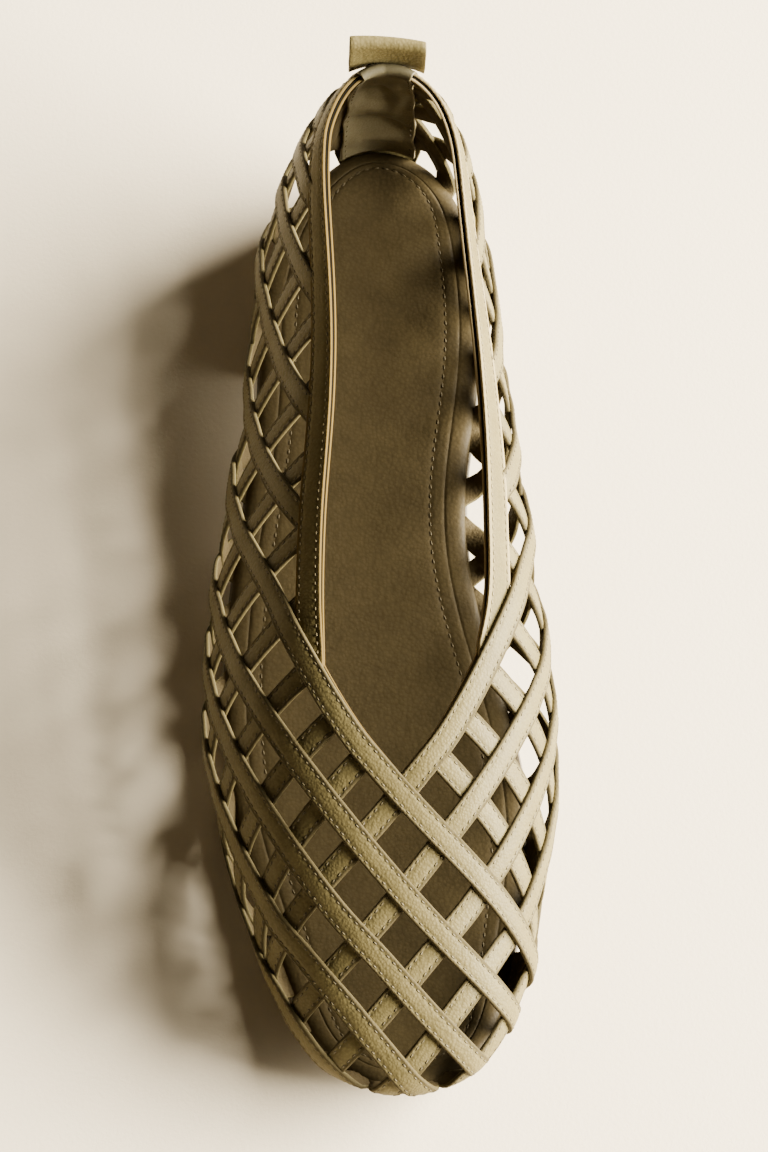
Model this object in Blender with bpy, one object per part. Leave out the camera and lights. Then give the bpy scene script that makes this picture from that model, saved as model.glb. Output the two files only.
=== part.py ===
"""Lattice leather flat, right foot, standing empty on its sole.

Upper of crossing leather tapes as one hollow wall, leather insole, thin outsole, low heel and
a folded pull tab at the back. The toe points to -Y, the inner side of the foot lies at +X.
"""
import math

import bmesh
import bpy
import numpy as np
from mathutils import Vector
from mathutils.geometry import delaunay_2d_cdt

MM = 0.001
OBJECT_NAME = "lattice_leather_flat"

# Last: length of the feather edge, where the wall meets the sole, and the spine of the ridge
LAST_LENGTH = 242.0
HEEL_PIVOT = 0.12
TOE_PIVOT = 0.85

# Outline of the feather edge: share of the length from the heel, half width outside and inside
OUTLINE = np.array([
    (0.00, 0.0, 0.0),
    (0.06, 19.6, 20.2),
    (0.16, 28.8, 25.2),
    (0.30, 31.8, 25.4),
    (0.44, 37.5, 23.8),
    (0.58, 41.0, 29.8),
    (0.72, 38.8, 33.8),
    (0.86, 29.5, 28.8),
    (0.95, 21.2, 21.8),
    (1.00, 0.0, 0.0),
])
# Height of the feather edge over the floor: share of the length, height
FEATHER = np.array([(0.0, 14.0), (0.25, 13.0), (0.45, 9.0), (0.70, 5.0), (0.85, 6.0), (1.0, 11.0)])
# Height of the ridge of the last: share of the length, height
RIDGE = np.array([(0.12, 75.7), (0.35, 62.2), (0.55, 58.5), (0.70, 51.4), (0.85, 37.1)])
# Sideways place of the ridge: share of the length, shift to the inside
SPINE = np.array([(0.12, 2.4), (0.30, 0.9), (0.50, 0.0), (0.85, 0.0)])
# Tuck of the wall under the foot at the feather edge: share of the length, depth
TUCK = np.array([(0.0, 0.8), (0.2, 1.0), (0.4, 2.0), (1.0, 2.0)])
# Deeper tuck at the inner waist: depth, place and spread round the outline, reach up the wall
WAIST_TUCK = 2.2
WAIST_TURN = 1.50
WAIST_SPREAD = 0.40
TUCK_REACH = 11.0
# Outward lean of the wall at the feather edge: share of the length, outside, inside, in radians
FLARE = np.array([
    (0.00, -0.02, -0.02),
    (0.20, -0.04, 0.05),
    (0.44, 0.12, 0.60),
    (0.72, 0.20, 0.20),
    (1.00, 0.20, 0.20),
])
# Roundness of the cross section: share of the length, power of the curve
ROUNDNESS = np.array([(0.0, 1.90), (0.3, 1.70), (0.5, 1.70), (0.72, 2.07), (1.0, 2.30)])

# Flattened pattern: the heel and the toe are unrolled round their pivots on these radii
HEEL_UNROLL = 24.0
TOE_UNROLL = 40.0
# Collar line in the pattern: place along the foot, distance from the ridge outside and inside
COLLAR = np.array([
    (8.66, 26.0, 26.0),
    (-5.0, 23.2, 25.3),
    (-13.5, 21.4, 24.8),
    (-29.0, 20.2, 24.5),
    (-48.0, 17.6, 23.5),
    (-73.0, 14.6, 22.5),
    (-97.0, 14.6, 22.2),
    (-121.0, 16.4, 21.8),
    (-141.0, 16.9, 20.4),
    (-151.0, 16.7, 18.0),
])
COLLAR_BAND = 6.4
COLLAR_BAND_END = -163.0
FEATHER_BAND = 3.0
BACKSTAY_HALF = 10.0

# Tapes: width, and the curve that every crossing tape follows in the pattern
TAPE_WIDTH = 5.5
TAPE_SLOPE = 1.08
TAPE_BEND = 0.38
TAPE_BEND_REACH = 22.0
# Places where the vamp tapes cross the ridge, from the throat to the toe
VAMP_TAPES = (-183.0, -203.0, -223.5, -243.5, -266.0)
# The tape that edges the throat swings back on its own side: depth, start and span off the ridge
THROAT_TAPE_BEND = 11.0
THROAT_TAPE_START = 8.0
THROAT_TAPE_SPAN = 28.0
# Longest run of a tape off the ridge, and where the side tapes begin beside it
TAPE_RUN = 92.0
OVER_TAPE_START = 10.0
UNDER_TAPE_START = 8.0
TAPE_OVERRUN = 1.5
# Tapes that run up from the feather edge to the collar, seen on top: first place and pitch
OVER_TAPE_FIRST = -146.0
OVER_TAPE_PITCH = 28.5
OVER_TAPE_COUNT = 5
# Tapes that run down from the collar, seen underneath: first place at reach, pitch, slopes
UNDER_TAPE_REACH = 31.0
UNDER_TAPE_FIRST = -196.5
UNDER_TAPE_PITCH = 17.3
UNDER_TAPE_COUNT = 12
UNDER_TAPE_SLOPE = 0.45
UNDER_TAPE_FRONT_SLOPE = 0.48
UNDER_TAPE_FADE = 2.5

# Wall: inner face and the three outer levels, measured from the last
WALL_INNER = -0.2
WALL_LEVELS = (1.0, 1.6, 2.2)
TAPE_STEP = 8.0
EDGE_STEP = 8.0
SMALL_GAP_AREA = 14.0
SNAP = 0.12

# Outsole: underside height along the length, inset of the edge rows, gap to the pieces above
TREAD = np.array([
    (0.0, 10.3), (0.26, 10.3), (0.36, 7.6), (0.46, 4.2), (0.56, 0.9), (0.62, 0.0),
    (0.76, 0.0), (0.88, 2.2), (1.0, 6.6),
])
FIT_GAP = 0.3
SOLE_ROWS = ((0.0, 1.0), (0.7, 0.5))
SOLE_BOTTOM_ROWS = ((1.3, 0.7), (0.35, 1.4), (0.0, 2.4))

# Heel: breast line, taper and edge
HEEL_BREAST = 0.245
HEEL_ROWS = ((10.0, 1.3), (1.0, 1.9), (0.0, 2.8))

# Insole: rows of the edge as height over the feather edge and inset
INSOLE_ROWS = ((0.0, 1.5), (0.9, 1.0), (1.8, 1.6), (2.3, 2.7), (2.5, 4.7))

# Pull tab: width, shift to the inside, thickness, height over the collar, lean to the back, leg
# below the collar, radius of the fold, and the radius round the heel with its fade to the top
TAB_WIDTH = 17.6
TAB_SHIFT = 0.6
TAB_THICK = 1.3
TAB_RISE = 6.8
TAB_LEAN = math.radians(-5.0)
TAB_LEG = 8.0
TAB_FOLD = 0.95
TAB_CURVE = 19.0
TAB_CURVE_FADE = 0.72
TAB_COLUMNS = 6
# Step from the leg of the tab up to its free part: to the back, up
TAB_STEP = (0.2, 1.6)

# Leather, lining and sole colours
COLOUR_LEATHER = (0.330, 0.272, 0.160, 1.0)
COLOUR_INSOLE = (0.250, 0.190, 0.098, 1.0)
COLOUR_SOLE = (0.105, 0.083, 0.050, 1.0)


def cubic(knots, values):
    """Natural cubic curve through the knots, and its slope."""
    knots = np.asarray(knots, float)
    values = np.asarray(values, float)
    step = np.diff(knots)
    count = len(knots)
    matrix = np.eye(count)
    right = np.zeros(count)
    for i in range(1, count - 1):
        matrix[i, i - 1] = step[i - 1]
        matrix[i, i] = 2.0 * (step[i - 1] + step[i])
        matrix[i, i + 1] = step[i]
        ahead = (values[i + 1] - values[i]) / step[i]
        behind = (values[i] - values[i - 1]) / step[i - 1]
        right[i] = 6.0 * (ahead - behind)
    curve = np.linalg.solve(matrix, right)

    def value(x):
        x = np.asarray(x, float)
        i = np.clip(np.searchsorted(knots, x) - 1, 0, count - 2)
        left = x - knots[i]
        rest = knots[i + 1] - x
        h = step[i]
        return ((curve[i] * rest ** 3 + curve[i + 1] * left ** 3) / (6.0 * h)
                + (values[i] / h - curve[i] * h / 6.0) * rest
                + (values[i + 1] / h - curve[i + 1] * h / 6.0) * left)

    def slope(x):
        return (value(np.asarray(x) + 1e-4) - value(np.asarray(x) - 1e-4)) / 2e-4

    return value, slope


def gentle(knots, values):
    """Curve through the knots that never overshoots them."""
    knots = np.asarray(knots, float)
    values = np.asarray(values, float)
    step = np.diff(knots)
    rate = np.diff(values) / step
    tangent = np.zeros(len(knots))
    for i in range(1, len(knots) - 1):
        if rate[i - 1] * rate[i] > 0:
            first = 2.0 * step[i] + step[i - 1]
            second = step[i] + 2.0 * step[i - 1]
            tangent[i] = (first + second) / (first / rate[i - 1] + second / rate[i])
    tangent[0] = rate[0]
    tangent[-1] = rate[-1]

    def value(x):
        x = np.clip(np.asarray(x, float), knots[0], knots[-1])
        i = np.clip(np.searchsorted(knots, x) - 1, 0, len(knots) - 2)
        t = (x - knots[i]) / step[i]
        return ((2 * t ** 3 - 3 * t ** 2 + 1) * values[i]
                + (t ** 3 - 2 * t ** 2 + t) * step[i] * tangent[i]
                + (3 * t ** 2 - 2 * t ** 3) * values[i + 1]
                + (t ** 3 - t ** 2) * step[i] * tangent[i + 1])

    return value


TURN = np.arccos(1.0 - 2.0 * OUTLINE[:, 0])
outside_width = cubic(TURN, OUTLINE[:, 1])[0]
inside_width = cubic(TURN, OUTLINE[:, 2])[0]
feather_height = gentle(FEATHER[:, 0], FEATHER[:, 1])
ridge_height, ridge_slope = cubic(RIDGE[:, 0], RIDGE[:, 1])
outside_flare = cubic(FLARE[:, 0], FLARE[:, 1])[0]
inside_flare = cubic(FLARE[:, 0], FLARE[:, 2])[0]
roundness = gentle(ROUNDNESS[:, 0], ROUNDNESS[:, 1])
spine_shift = gentle(SPINE[:, 0], SPINE[:, 1])
tuck_along = gentle(TUCK[:, 0], TUCK[:, 1])
tread_height = gentle(TREAD[:, 0], TREAD[:, 1])


def feather_plan(turn):
    """Plan point of the feather edge; turn runs from 0 at the heel to pi at the toe, negative outside."""
    size = np.abs(turn)
    share = (1.0 - np.cos(size)) / 2.0
    across = np.where(turn < 0, -outside_width(size), inside_width(size))
    return across, share


def tuck_depth(turn):
    """How far the wall is tucked under the foot at the feather edge."""
    waist = np.where(turn > 0, np.exp(-((turn - WAIST_TURN) / WAIST_SPREAD) ** 2), 0.0)
    return tuck_along((1.0 - np.cos(turn)) / 2.0) + WAIST_TUCK * waist


def last_point(turn, rise):
    """Point of the last; rise is 0 at the feather edge and pi/2 at the ridge."""
    across, share = feather_plan(turn)
    along = -share * LAST_LENGTH
    pivot = np.clip(share, HEEL_PIVOT, TOE_PIVOT)
    centre = -pivot * LAST_LENGTH
    middle = spine_shift(pivot)
    away = along - centre
    across = across - middle
    reach = np.maximum(np.hypot(across, away), 1e-9)
    low = feather_height(share)
    top = ridge_height(pivot)
    tilt = -ridge_slope(pivot) / LAST_LENGTH * away / reach
    flare = np.where(turn < 0, outside_flare(share), inside_flare(share))
    height = (top - low + tilt * reach) / (np.cos(flare) - tilt * np.sin(flare))
    spread = reach + height * np.sin(flare)
    power = 2.0 / roundness(share)
    side = np.maximum(np.cos(rise), 0.0) ** power
    up = np.maximum(np.sin(rise), 0.0) ** power
    out = -height * np.sin(flare) + spread * side + height * np.sin(flare) * up
    base = top - height * np.cos(flare)
    level = base + (low - base) * side + height * np.cos(flare) * up
    over = np.clip(1.0 - (level - low) / TUCK_REACH, 0.0, 1.0)
    out = out - tuck_depth(turn) * over ** 2
    return np.stack([middle + across / reach * out, centre + away / reach * out, level], -1)


class Pattern:
    """Flattened pattern of the last: distance from the ridge across, place along the foot up."""

    TURNS = 361
    RISES = 91

    def __init__(self):
        self.heel = -HEEL_PIVOT * LAST_LENGTH
        self.toe = -TOE_PIVOT * LAST_LENGTH
        self.back = self.heel + HEEL_UNROLL * math.pi / 2.0
        self.turns = np.linspace(1e-6, math.pi - 1e-6, self.TURNS)
        self.rises = np.linspace(0.0, math.pi / 2.0, self.RISES)
        self.sides = {-1: self.measure(-1), 1: self.measure(1)}

    def measure(self, side):
        """Arc lengths from the ridge and the pattern place of every section on one side."""
        turn, rise = np.meshgrid(side * self.turns, self.rises, indexing="ij")
        points = last_point(turn, rise)
        piece = np.linalg.norm(np.diff(points[:, ::-1], axis=1), axis=2)
        arc = np.concatenate([np.zeros((self.TURNS, 1)), np.cumsum(piece, axis=1)], axis=1)
        across, share = feather_plan(side * self.turns)
        along = -share * LAST_LENGTH
        pivot = -np.clip(share, HEEL_PIVOT, TOE_PIVOT) * LAST_LENGTH
        away = side * (across - spine_shift(-pivot / LAST_LENGTH))
        angle = np.arctan2(along - pivot, away)
        turned = angle / angle[0] * math.pi / 2.0
        place = np.where(along > self.heel, self.heel + HEEL_UNROLL * turned,
                         np.where(along < self.toe, self.toe + TOE_UNROLL * angle, along))
        return arc, place

    def split(self, spot):
        """Side, section index and arc length of pattern points."""
        spot = np.atleast_2d(np.asarray(spot, float))
        side = np.where(spot[:, 0] < 0, -1, 1)
        place = spot[:, 1].copy()
        reach = np.abs(spot[:, 0])
        front = spot[:, 1] < self.toe
        angle = np.arctan2(spot[front, 1] - self.toe, np.abs(spot[front, 0]))
        place[front] = self.toe + TOE_UNROLL * angle
        reach[front] = np.hypot(spot[front, 0], spot[front, 1] - self.toe)
        return side, place, reach

    def lift(self, spot):
        """Points of the last over pattern points."""
        side, place, reach = self.split(spot)
        result = np.zeros((len(side), 3))
        for i in range(len(side)):
            arc, places = self.sides[side[i]]
            where = np.interp(-place[i], -places, np.arange(self.TURNS))
            low = min(int(where), self.TURNS - 2)
            mix = where - low
            row = arc[low] * (1.0 - mix) + arc[low + 1] * mix
            rise = math.pi / 2.0 - np.interp(reach[i], row, self.rises)
            turn = side[i] * np.interp(where, np.arange(self.TURNS), self.turns)
            result[i] = last_point(np.array([turn]), np.array([rise]))[0]
        return result

    def frame(self, spot):
        """Tangents across and along the pattern on the last."""
        spot = np.atleast_2d(np.asarray(spot, float))
        step = 0.4
        across = np.array([step, 0.0])
        along = np.array([0.0, step])
        over = np.minimum(spot[:, 1] + step, self.back)
        upper = np.stack([spot[:, 0], over], 1)
        dx = (self.lift(spot + across) - self.lift(spot - across)) / (2.0 * step)
        span = (over - spot[:, 1] + step)[:, None]
        dy = (self.lift(upper) - self.lift(spot - along)) / span
        return dx, dy

    def pulled_in(self, spot, inset):
        """Pattern points moved back over the wall where they lie past the feather edge."""
        spot = np.array(spot, float)
        side, place, reach = self.split(spot)
        for i in range(len(spot)):
            limit = float(self.feather_reach(side[i], place[i])) - inset
            if reach[i] > limit:
                share = limit / reach[i]
                spot[i, 0] = spot[i, 0] * share
                if spot[i, 1] < self.toe:
                    spot[i, 1] = self.toe + (spot[i, 1] - self.toe) * share
        return spot

    def normal(self, spot):
        """Outward direction of the last over pattern points."""
        dx, dy = self.frame(self.pulled_in(spot, 0.5))
        result = np.cross(dx, dy)
        return result / np.linalg.norm(result, axis=1)[:, None]

    def feather_reach(self, side, place):
        """Distance from the ridge to the feather edge behind the toe turn."""
        arc, places = self.sides[side]
        return np.interp(-np.asarray(place), -places, arc[:, -1])

    def feather_line(self, inset):
        """Pattern points of the feather edge, outside heel to toe to inside heel, pulled in by inset."""
        rows = []
        for side in (-1, 1):
            arc, places = self.sides[side]
            total = arc[:, -1] - inset
            angle = (places - self.toe) / TOE_UNROLL
            x = np.where(places < self.toe, total * np.cos(angle), total)
            y = np.where(places < self.toe, self.toe + total * np.sin(angle), places)
            rows.append(np.stack([side * x, y], 1))
        line = np.concatenate([rows[0], rows[1][::-1]])
        line[0, 1] = self.back
        line[-1, 1] = self.back
        return line


def thin_line(line, step):
    """Points along a line at an even step."""
    line = np.asarray(line, float)
    length = np.concatenate([[0.0], np.cumsum(np.linalg.norm(np.diff(line, axis=0), axis=1))])
    count = max(int(round(length[-1] / step)), 1)
    at = np.linspace(0.0, length[-1], count + 1)
    return np.stack([np.interp(at, length, line[:, k]) for k in (0, 1)], 1)


def crossing_curve(x):
    """Shape of a tape over the foot: it runs back on its own side and forward on the other."""
    return -TAPE_SLOPE * x + TAPE_BEND * TAPE_BEND_REACH * np.log(np.cosh(x / TAPE_BEND_REACH))


def throat_shift(x):
    """Extra run to the back of the tape that edges the throat, on its own side."""
    t = np.clip((-x - THROAT_TAPE_START) / THROAT_TAPE_SPAN, 0.0, 1.0)
    return THROAT_TAPE_BEND * t * t * (3.0 - 2.0 * t)


def tape_lines():
    """Centre lines of all tapes in the pattern, each with its family and kind."""
    tapes = []
    for hand in (-1, 1):
        family = "a" if hand < 0 else "b"
        wide = np.linspace(-TAPE_RUN, TAPE_RUN, 185)
        for i, start in enumerate(VAMP_TAPES):
            y = start + crossing_curve(wide)
            if i == 0:
                y = y + throat_shift(wide)
            tapes.append((family, "vamp", np.stack([-hand * wide, y], 1)))
        own = np.linspace(-TAPE_RUN, -OVER_TAPE_START, 83)
        for i in range(OVER_TAPE_COUNT):
            y = OVER_TAPE_FIRST + i * OVER_TAPE_PITCH + crossing_curve(own)
            tapes.append((family, "over", np.stack([-hand * own, y], 1)))
        far = np.linspace(UNDER_TAPE_START, TAPE_RUN, 85)
        for i in range(UNDER_TAPE_COUNT):
            slope = UNDER_TAPE_SLOPE + UNDER_TAPE_FRONT_SLOPE * math.exp(-i / UNDER_TAPE_FADE)
            y = UNDER_TAPE_FIRST + i * UNDER_TAPE_PITCH - slope * (far - UNDER_TAPE_REACH)
            tapes.append((family, "under", np.stack([-hand * far, y], 1)))
    return tapes


def trim_tape(pattern, kind, line):
    """Keeps the part of a tape that lies on the wall, with a little run past its edges."""
    side, place, reach = pattern.split(line)
    limit = np.array([pattern.feather_reach(side[i], place[i]) for i in range(len(side))])
    inner = np.where(side < 0, np.interp(-place, -COLLAR[:, 0], COLLAR[:, 1]),
                     np.interp(-place, -COLLAR[:, 0], COLLAR[:, 2]))
    edge = np.linspace(-24.0, 0.0, 25)
    edge_place = VAMP_TAPES[0] + crossing_curve(edge) + throat_shift(edge)
    ahead = place < COLLAR[-1, 0]
    inner = np.where(ahead, np.interp(-place, -edge_place, -edge) - TAPE_OVERRUN, inner)
    good = (reach < limit + TAPE_OVERRUN) & (line[:, 1] < pattern.back - 2.0 * TAPE_OVERRUN)
    if kind != "vamp":
        good &= reach > inner + TAPE_OVERRUN
    index = np.nonzero(good)[0]
    if len(index) < 4:
        return None
    return line[index[0]:index[-1] + 1]


def tape_outline(pattern, line, width):
    """Closed outline of a tape with true width on the last."""
    line = thin_line(line, TAPE_STEP)
    direction = np.gradient(line, axis=0)
    side = np.stack([-direction[:, 1], direction[:, 0]], 1)
    dx, dy = pattern.frame(pattern.pulled_in(line, 0.6))
    edges = []
    for i in range(len(line)):
        metric = np.array([[dx[i] @ dx[i], dx[i] @ dy[i]], [dx[i] @ dy[i], dy[i] @ dy[i]]])
        across = np.linalg.solve(metric, side[i])
        across = across / math.sqrt(across @ metric @ across)
        edges.append(across * width / 2.0)
    edges = np.array(edges)
    return np.concatenate([line - edges, (line + edges)[::-1]])


def collar_line(pattern, side, extra):
    """Pattern points of one side of the collar from the back to the throat, moved out by extra."""
    column = 1 if side < 0 else 2
    place = np.linspace(pattern.back, COLLAR[-1, 0], 24)
    smooth = cubic(-COLLAR[:, 0], COLLAR[:, column])[0]
    reach = smooth(-place)
    return np.stack([side * (reach + extra), place], 1)


def throat_edge(side):
    """Inner edge of the tape that edges the throat on one side, from the collar to the middle."""
    x = np.linspace(-20.5, 0.0, 13)
    y = VAMP_TAPES[0] + crossing_curve(x) + throat_shift(x)
    line = np.stack([x, y], 1)
    direction = np.gradient(line, axis=0)
    direction = direction / np.linalg.norm(direction, axis=1)[:, None]
    edge = line + np.stack([-direction[:, 1], direction[:, 0]], 1) * TAPE_WIDTH / 2.0
    start = COLLAR[-1, 1 if side < 0 else 2]
    edge = edge[(edge[:, 0] < -0.8) & (edge[:, 0] > 0.4 - start)]
    corner = TAPE_WIDTH / 2.0 * math.hypot(1.0, TAPE_SLOPE)
    middle = np.array([[0.0, VAMP_TAPES[0] + corner]])
    edge = np.concatenate([edge, middle])
    edge[:, 0] *= -side
    return edge


def wall_layout(pattern):
    """Arranges the wall in the pattern: points, triangles and the level of each triangle."""
    feather = thin_line(pattern.feather_line(0.0), EDGE_STEP)
    margin = thin_line(pattern.feather_line(FEATHER_BAND), EDGE_STEP)
    faces = []
    names = []

    def add(name, outline):
        faces.append(np.asarray(outline, float))
        names.append(name)

    opening = []
    for side in (-1, 1):
        line = np.concatenate([collar_line(pattern, side, 0.0), throat_edge(side)])
        opening.append(line)
    domain = np.concatenate([feather, opening[1][:-1], opening[0][::-1]])
    add("domain", domain)
    add("margin", np.concatenate([feather, margin[::-1]]))
    for side in (-1, 1):
        inner = opening[0 if side < 0 else 1]
        inner = inner[inner[:, 1] > COLLAR_BAND_END]
        outer = collar_line(pattern, side, COLLAR_BAND)
        add("collar", np.concatenate([inner, outer[::-1]]))
        low = float(pattern.feather_reach(side, pattern.back))
        high = float(COLLAR[0, 1])
        edge = pattern.back - BACKSTAY_HALF
        bottom = float(pattern.feather_reach(side, edge))
        top = float(cubic(-COLLAR[:, 0], COLLAR[:, 1 if side < 0 else 2])[0](-edge))
        seam = np.linspace(low - FEATHER_BAND, high + COLLAR_BAND, 7)
        front = np.linspace(top, bottom, 7)
        column = [(side * low, pattern.back)] + [(side * v, pattern.back) for v in seam]
        column = column + [(side * high, pattern.back)] + [(side * v, edge) for v in front]
        add("backstay", column)
    for family, kind, line in tape_lines():
        part = trim_tape(pattern, kind, line)
        if part is not None:
            add(kind + "_" + family, tape_outline(pattern, part, TAPE_WIDTH))
    points = []
    loops = []
    for outline in faces:
        ahead = np.roll(outline, -1, axis=0)
        if np.sum(outline[:, 0] * ahead[:, 1] - ahead[:, 0] * outline[:, 1]) < 0:
            outline = outline[::-1]
        loop = []
        for spot in outline:
            near = [i for i, p in enumerate(points) if abs(p[0] - spot[0]) + abs(p[1] - spot[1]) < SNAP]
            if not near:
                points.append(Vector((float(spot[0]), float(spot[1]))))
            number = near[0] if near else len(points) - 1
            if number not in loop:
                loop.append(number)
        loops.append(loop)
    spots, _, triangles, _, _, origin = delaunay_2d_cdt(points, [], loops, 1, 0.05)
    spots = np.array([(p.x, p.y) for p in spots])
    kept = []
    levels = []
    for triangle, source in zip(triangles, origin):
        inside = {names[i] for i in source}
        if "domain" not in inside or len(triangle) != 3:
            continue
        middle = spots[list(triangle)].mean(axis=0)
        level = 0
        if inside & {"margin", "under_a", "under_b", "vamp_b"}:
            level = 1
        if inside & {"over_a", "over_b"} or ("vamp_b" in inside and middle[0] > 0):
            level = 2
        if inside & {"collar", "backstay", "vamp_a"}:
            level = 3
        kept.append(tuple(triangle))
        levels.append(level)
    return spots, kept, levels


def edge_map(triangles):
    """Triangles on each edge."""
    result = {}
    for i, triangle in enumerate(triangles):
        for k in range(3):
            pair = (triangle[k], triangle[(k + 1) % 3])
            result.setdefault((min(pair), max(pair)), []).append(i)
    return result


def groups(members, triangles, shared):
    """Connected sets of triangles, joined over shared edges."""
    members = set(members)
    result = []
    while members:
        stack = [members.pop()]
        group = []
        while stack:
            current = stack.pop()
            group.append(current)
            triangle = triangles[current]
            for k in range(3):
                pair = (triangle[k], triangle[(k + 1) % 3])
                for other in shared[(min(pair), max(pair))]:
                    if other in members:
                        members.remove(other)
                        stack.append(other)
        result.append(group)
    return result


def close_small_gaps(triangles, levels, area_on_last):
    """Fills gaps too small to cut and corners where two gaps would only touch."""
    shared = edge_map(triangles)
    gaps = groups([i for i, level in enumerate(levels) if level == 0], triangles, shared)
    for gap in gaps:
        if sum(area_on_last[i] for i in gap) < SMALL_GAP_AREA:
            for i in gap:
                levels[i] = 1
    around = {}
    for i, triangle in enumerate(triangles):
        for v in triangle:
            around.setdefault(v, []).append(i)
    for _ in range(12):
        changed = False
        for v, fan in around.items():
            for level in (1, 2, 3):
                high = groups([i for i in fan if levels[i] >= level], triangles, shared)
                if len(high) < 2:
                    continue
                low = groups([i for i in fan if levels[i] < level], triangles, shared)
                if level == 1:
                    smallest = min(low, key=lambda g: sum(area_on_last[i] for i in g))
                    for i in smallest:
                        levels[i] = 1
                else:
                    smallest = min(high, key=lambda g: sum(area_on_last[i] for i in g))
                    for i in smallest:
                        levels[i] = level - 1
                changed = True
        if not changed:
            break
    return levels


def upper_mesh(pattern):
    """Vertices and faces of the hollow lattice wall."""
    spots, triangles, levels = wall_layout(pattern)
    seam = {}
    rename = {}
    for i, spot in enumerate(spots):
        if spot[1] > pattern.back - 1e-4:
            key = round(abs(spot[0]), 2)
            rename[i] = seam.setdefault(key, i)
    base = pattern.lift(spots)
    outward = pattern.normal(spots)
    for first in set(rename.values()):
        twins = [i for i in rename if rename[i] == first]
        outward[first] = outward[twins].sum(axis=0)
    side, place, reach = pattern.split(spots)
    for i in range(len(spots)):
        if reach[i] > float(pattern.feather_reach(side[i], place[i])) - 1.2:
            outward[i, 2] = 0.0
    outward = outward / np.linalg.norm(outward, axis=1)[:, None]
    triangles = [tuple(rename.get(v, v) for v in t) for t in triangles]
    corner = base[np.array(triangles)]
    area = 0.5 * np.linalg.norm(np.cross(corner[:, 1] - corner[:, 0], corner[:, 2] - corner[:, 0]), axis=1)
    levels = close_small_gaps(triangles, levels, area)
    shared = edge_map(triangles)
    present = {}
    for triangle, level in zip(triangles, levels):
        if level:
            for v in triangle:
                present.setdefault(v, set()).add(level)
    vertices = []
    number = {}

    def vertex(v, level):
        key = (v, level)
        if key not in number:
            offset = WALL_INNER if level == 0 else WALL_LEVELS[level - 1]
            number[key] = len(vertices)
            vertices.append(base[v] + outward[v] * offset)
        return number[key]

    faces = []
    for i, (triangle, level) in enumerate(zip(triangles, levels)):
        if level == 0:
            continue
        faces.append([vertex(v, level) for v in triangle])
        faces.append([vertex(v, 0) for v in reversed(triangle)])
        for k in range(3):
            a = triangle[k]
            b = triangle[(k + 1) % 3]
            others = [j for j in shared[(min(a, b), max(a, b))] if j != i]
            beyond = levels[others[0]] if others else 0
            if beyond >= level:
                continue
            rise_b = [m for m in sorted(present[b]) if beyond < m < level]
            rise_a = [m for m in sorted(present[a]) if beyond < m < level]
            ring = [vertex(a, beyond), vertex(b, beyond)] + [vertex(b, m) for m in rise_b]
            ring = ring + [vertex(b, level), vertex(a, level)] + [vertex(a, m) for m in reversed(rise_a)]
            faces.append(ring)
    return np.array(vertices), faces


def inset_outline(turns, inset):
    """Plan points of the tucked feather edge pulled in by inset."""
    inset = inset + tuck_depth(turns)[:, None]
    across, share = feather_plan(turns)
    step = 1e-4
    ahead = np.stack(feather_plan(turns + step), -1)
    behind = np.stack(feather_plan(turns - step), -1)
    tangent = (ahead - behind) * np.array([1.0, -LAST_LENGTH])
    tangent = tangent / np.linalg.norm(tangent, axis=-1)[:, None]
    inward = np.stack([tangent[:, 1], -tangent[:, 0]], -1)
    points = np.stack([across, -share * LAST_LENGTH], -1)
    spine = np.clip(points[:, 1], -TOE_PIVOT * LAST_LENGTH, -HEEL_PIVOT * LAST_LENGTH)
    middle = np.stack([np.zeros(len(turns)), spine], -1)
    flip = np.sign(np.sum(inward * (middle - points), axis=1))
    return points + inward * flip[:, None] * inset


def ring_turns(count):
    """Turns round the whole outline, from the heel along the inside to the toe and back."""
    half = np.linspace(0.0, math.pi, count + 1)
    half[0] = 1e-5
    half[-1] = math.pi - 1e-5
    return half


def plate(rows, count, cap_low, cap_high, level):
    """Closed plate with the outline of the last, from edge rows of height and inset.

    level gives the base height of a row over a plan point; rows run from one cap to the other.
    """
    half = ring_turns(count)
    vertices = []
    rings = []
    for height, inset, surface in rows:
        inner = inset_outline(half, inset)
        outer = inset_outline(-half, inset)
        ring_points = [(0.0, inner[0, 1])] + list(map(tuple, inner[1:-1])) + [(0.0, inner[-1, 1])]
        ring_points = ring_points + list(map(tuple, outer[-2:0:-1]))
        ring = []
        for x, y in ring_points:
            ring.append(len(vertices))
            vertices.append((x, y, level(surface, y) + height))
        rings.append(ring)
    faces = []
    total = len(rings[0])
    for low, high in zip(rings[:-1], rings[1:]):
        for i in range(total):
            j = (i + 1) % total
            faces.append([low[i], low[j], high[j], high[i]])
    for ring, flip, surface in ((rings[0], True, cap_low), (rings[-1], False, cap_high)):
        middle = {}
        for i in range(1, count):
            left = ring[total - i]
            right = ring[i]
            y = 0.5 * (vertices[left][1] + vertices[right][1])
            x = 0.5 * (vertices[left][0] + vertices[right][0])
            middle[i] = len(vertices)
            vertices.append((x, y, level(surface, y) + rows[0 if flip else -1][0]))
        cap = []
        cap.append([ring[0], ring[1], middle[1]])
        cap.append([ring[0], middle[1], ring[total - 1]])
        for i in range(1, count - 1):
            cap.append([ring[i], ring[i + 1], middle[i + 1], middle[i]])
            cap.append([middle[i], middle[i + 1], ring[total - i - 1], ring[total - i]])
        cap.append([ring[count - 1], ring[count], middle[count - 1]])
        cap.append([middle[count - 1], ring[count], ring[count + 1]])
        faces.extend([list(reversed(f)) if flip else f for f in cap])
    return np.array(vertices), faces


def share_of(y):
    """Share of the length at a place along the foot."""
    return min(max(-y / LAST_LENGTH, 0.0), 1.0)


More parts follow.
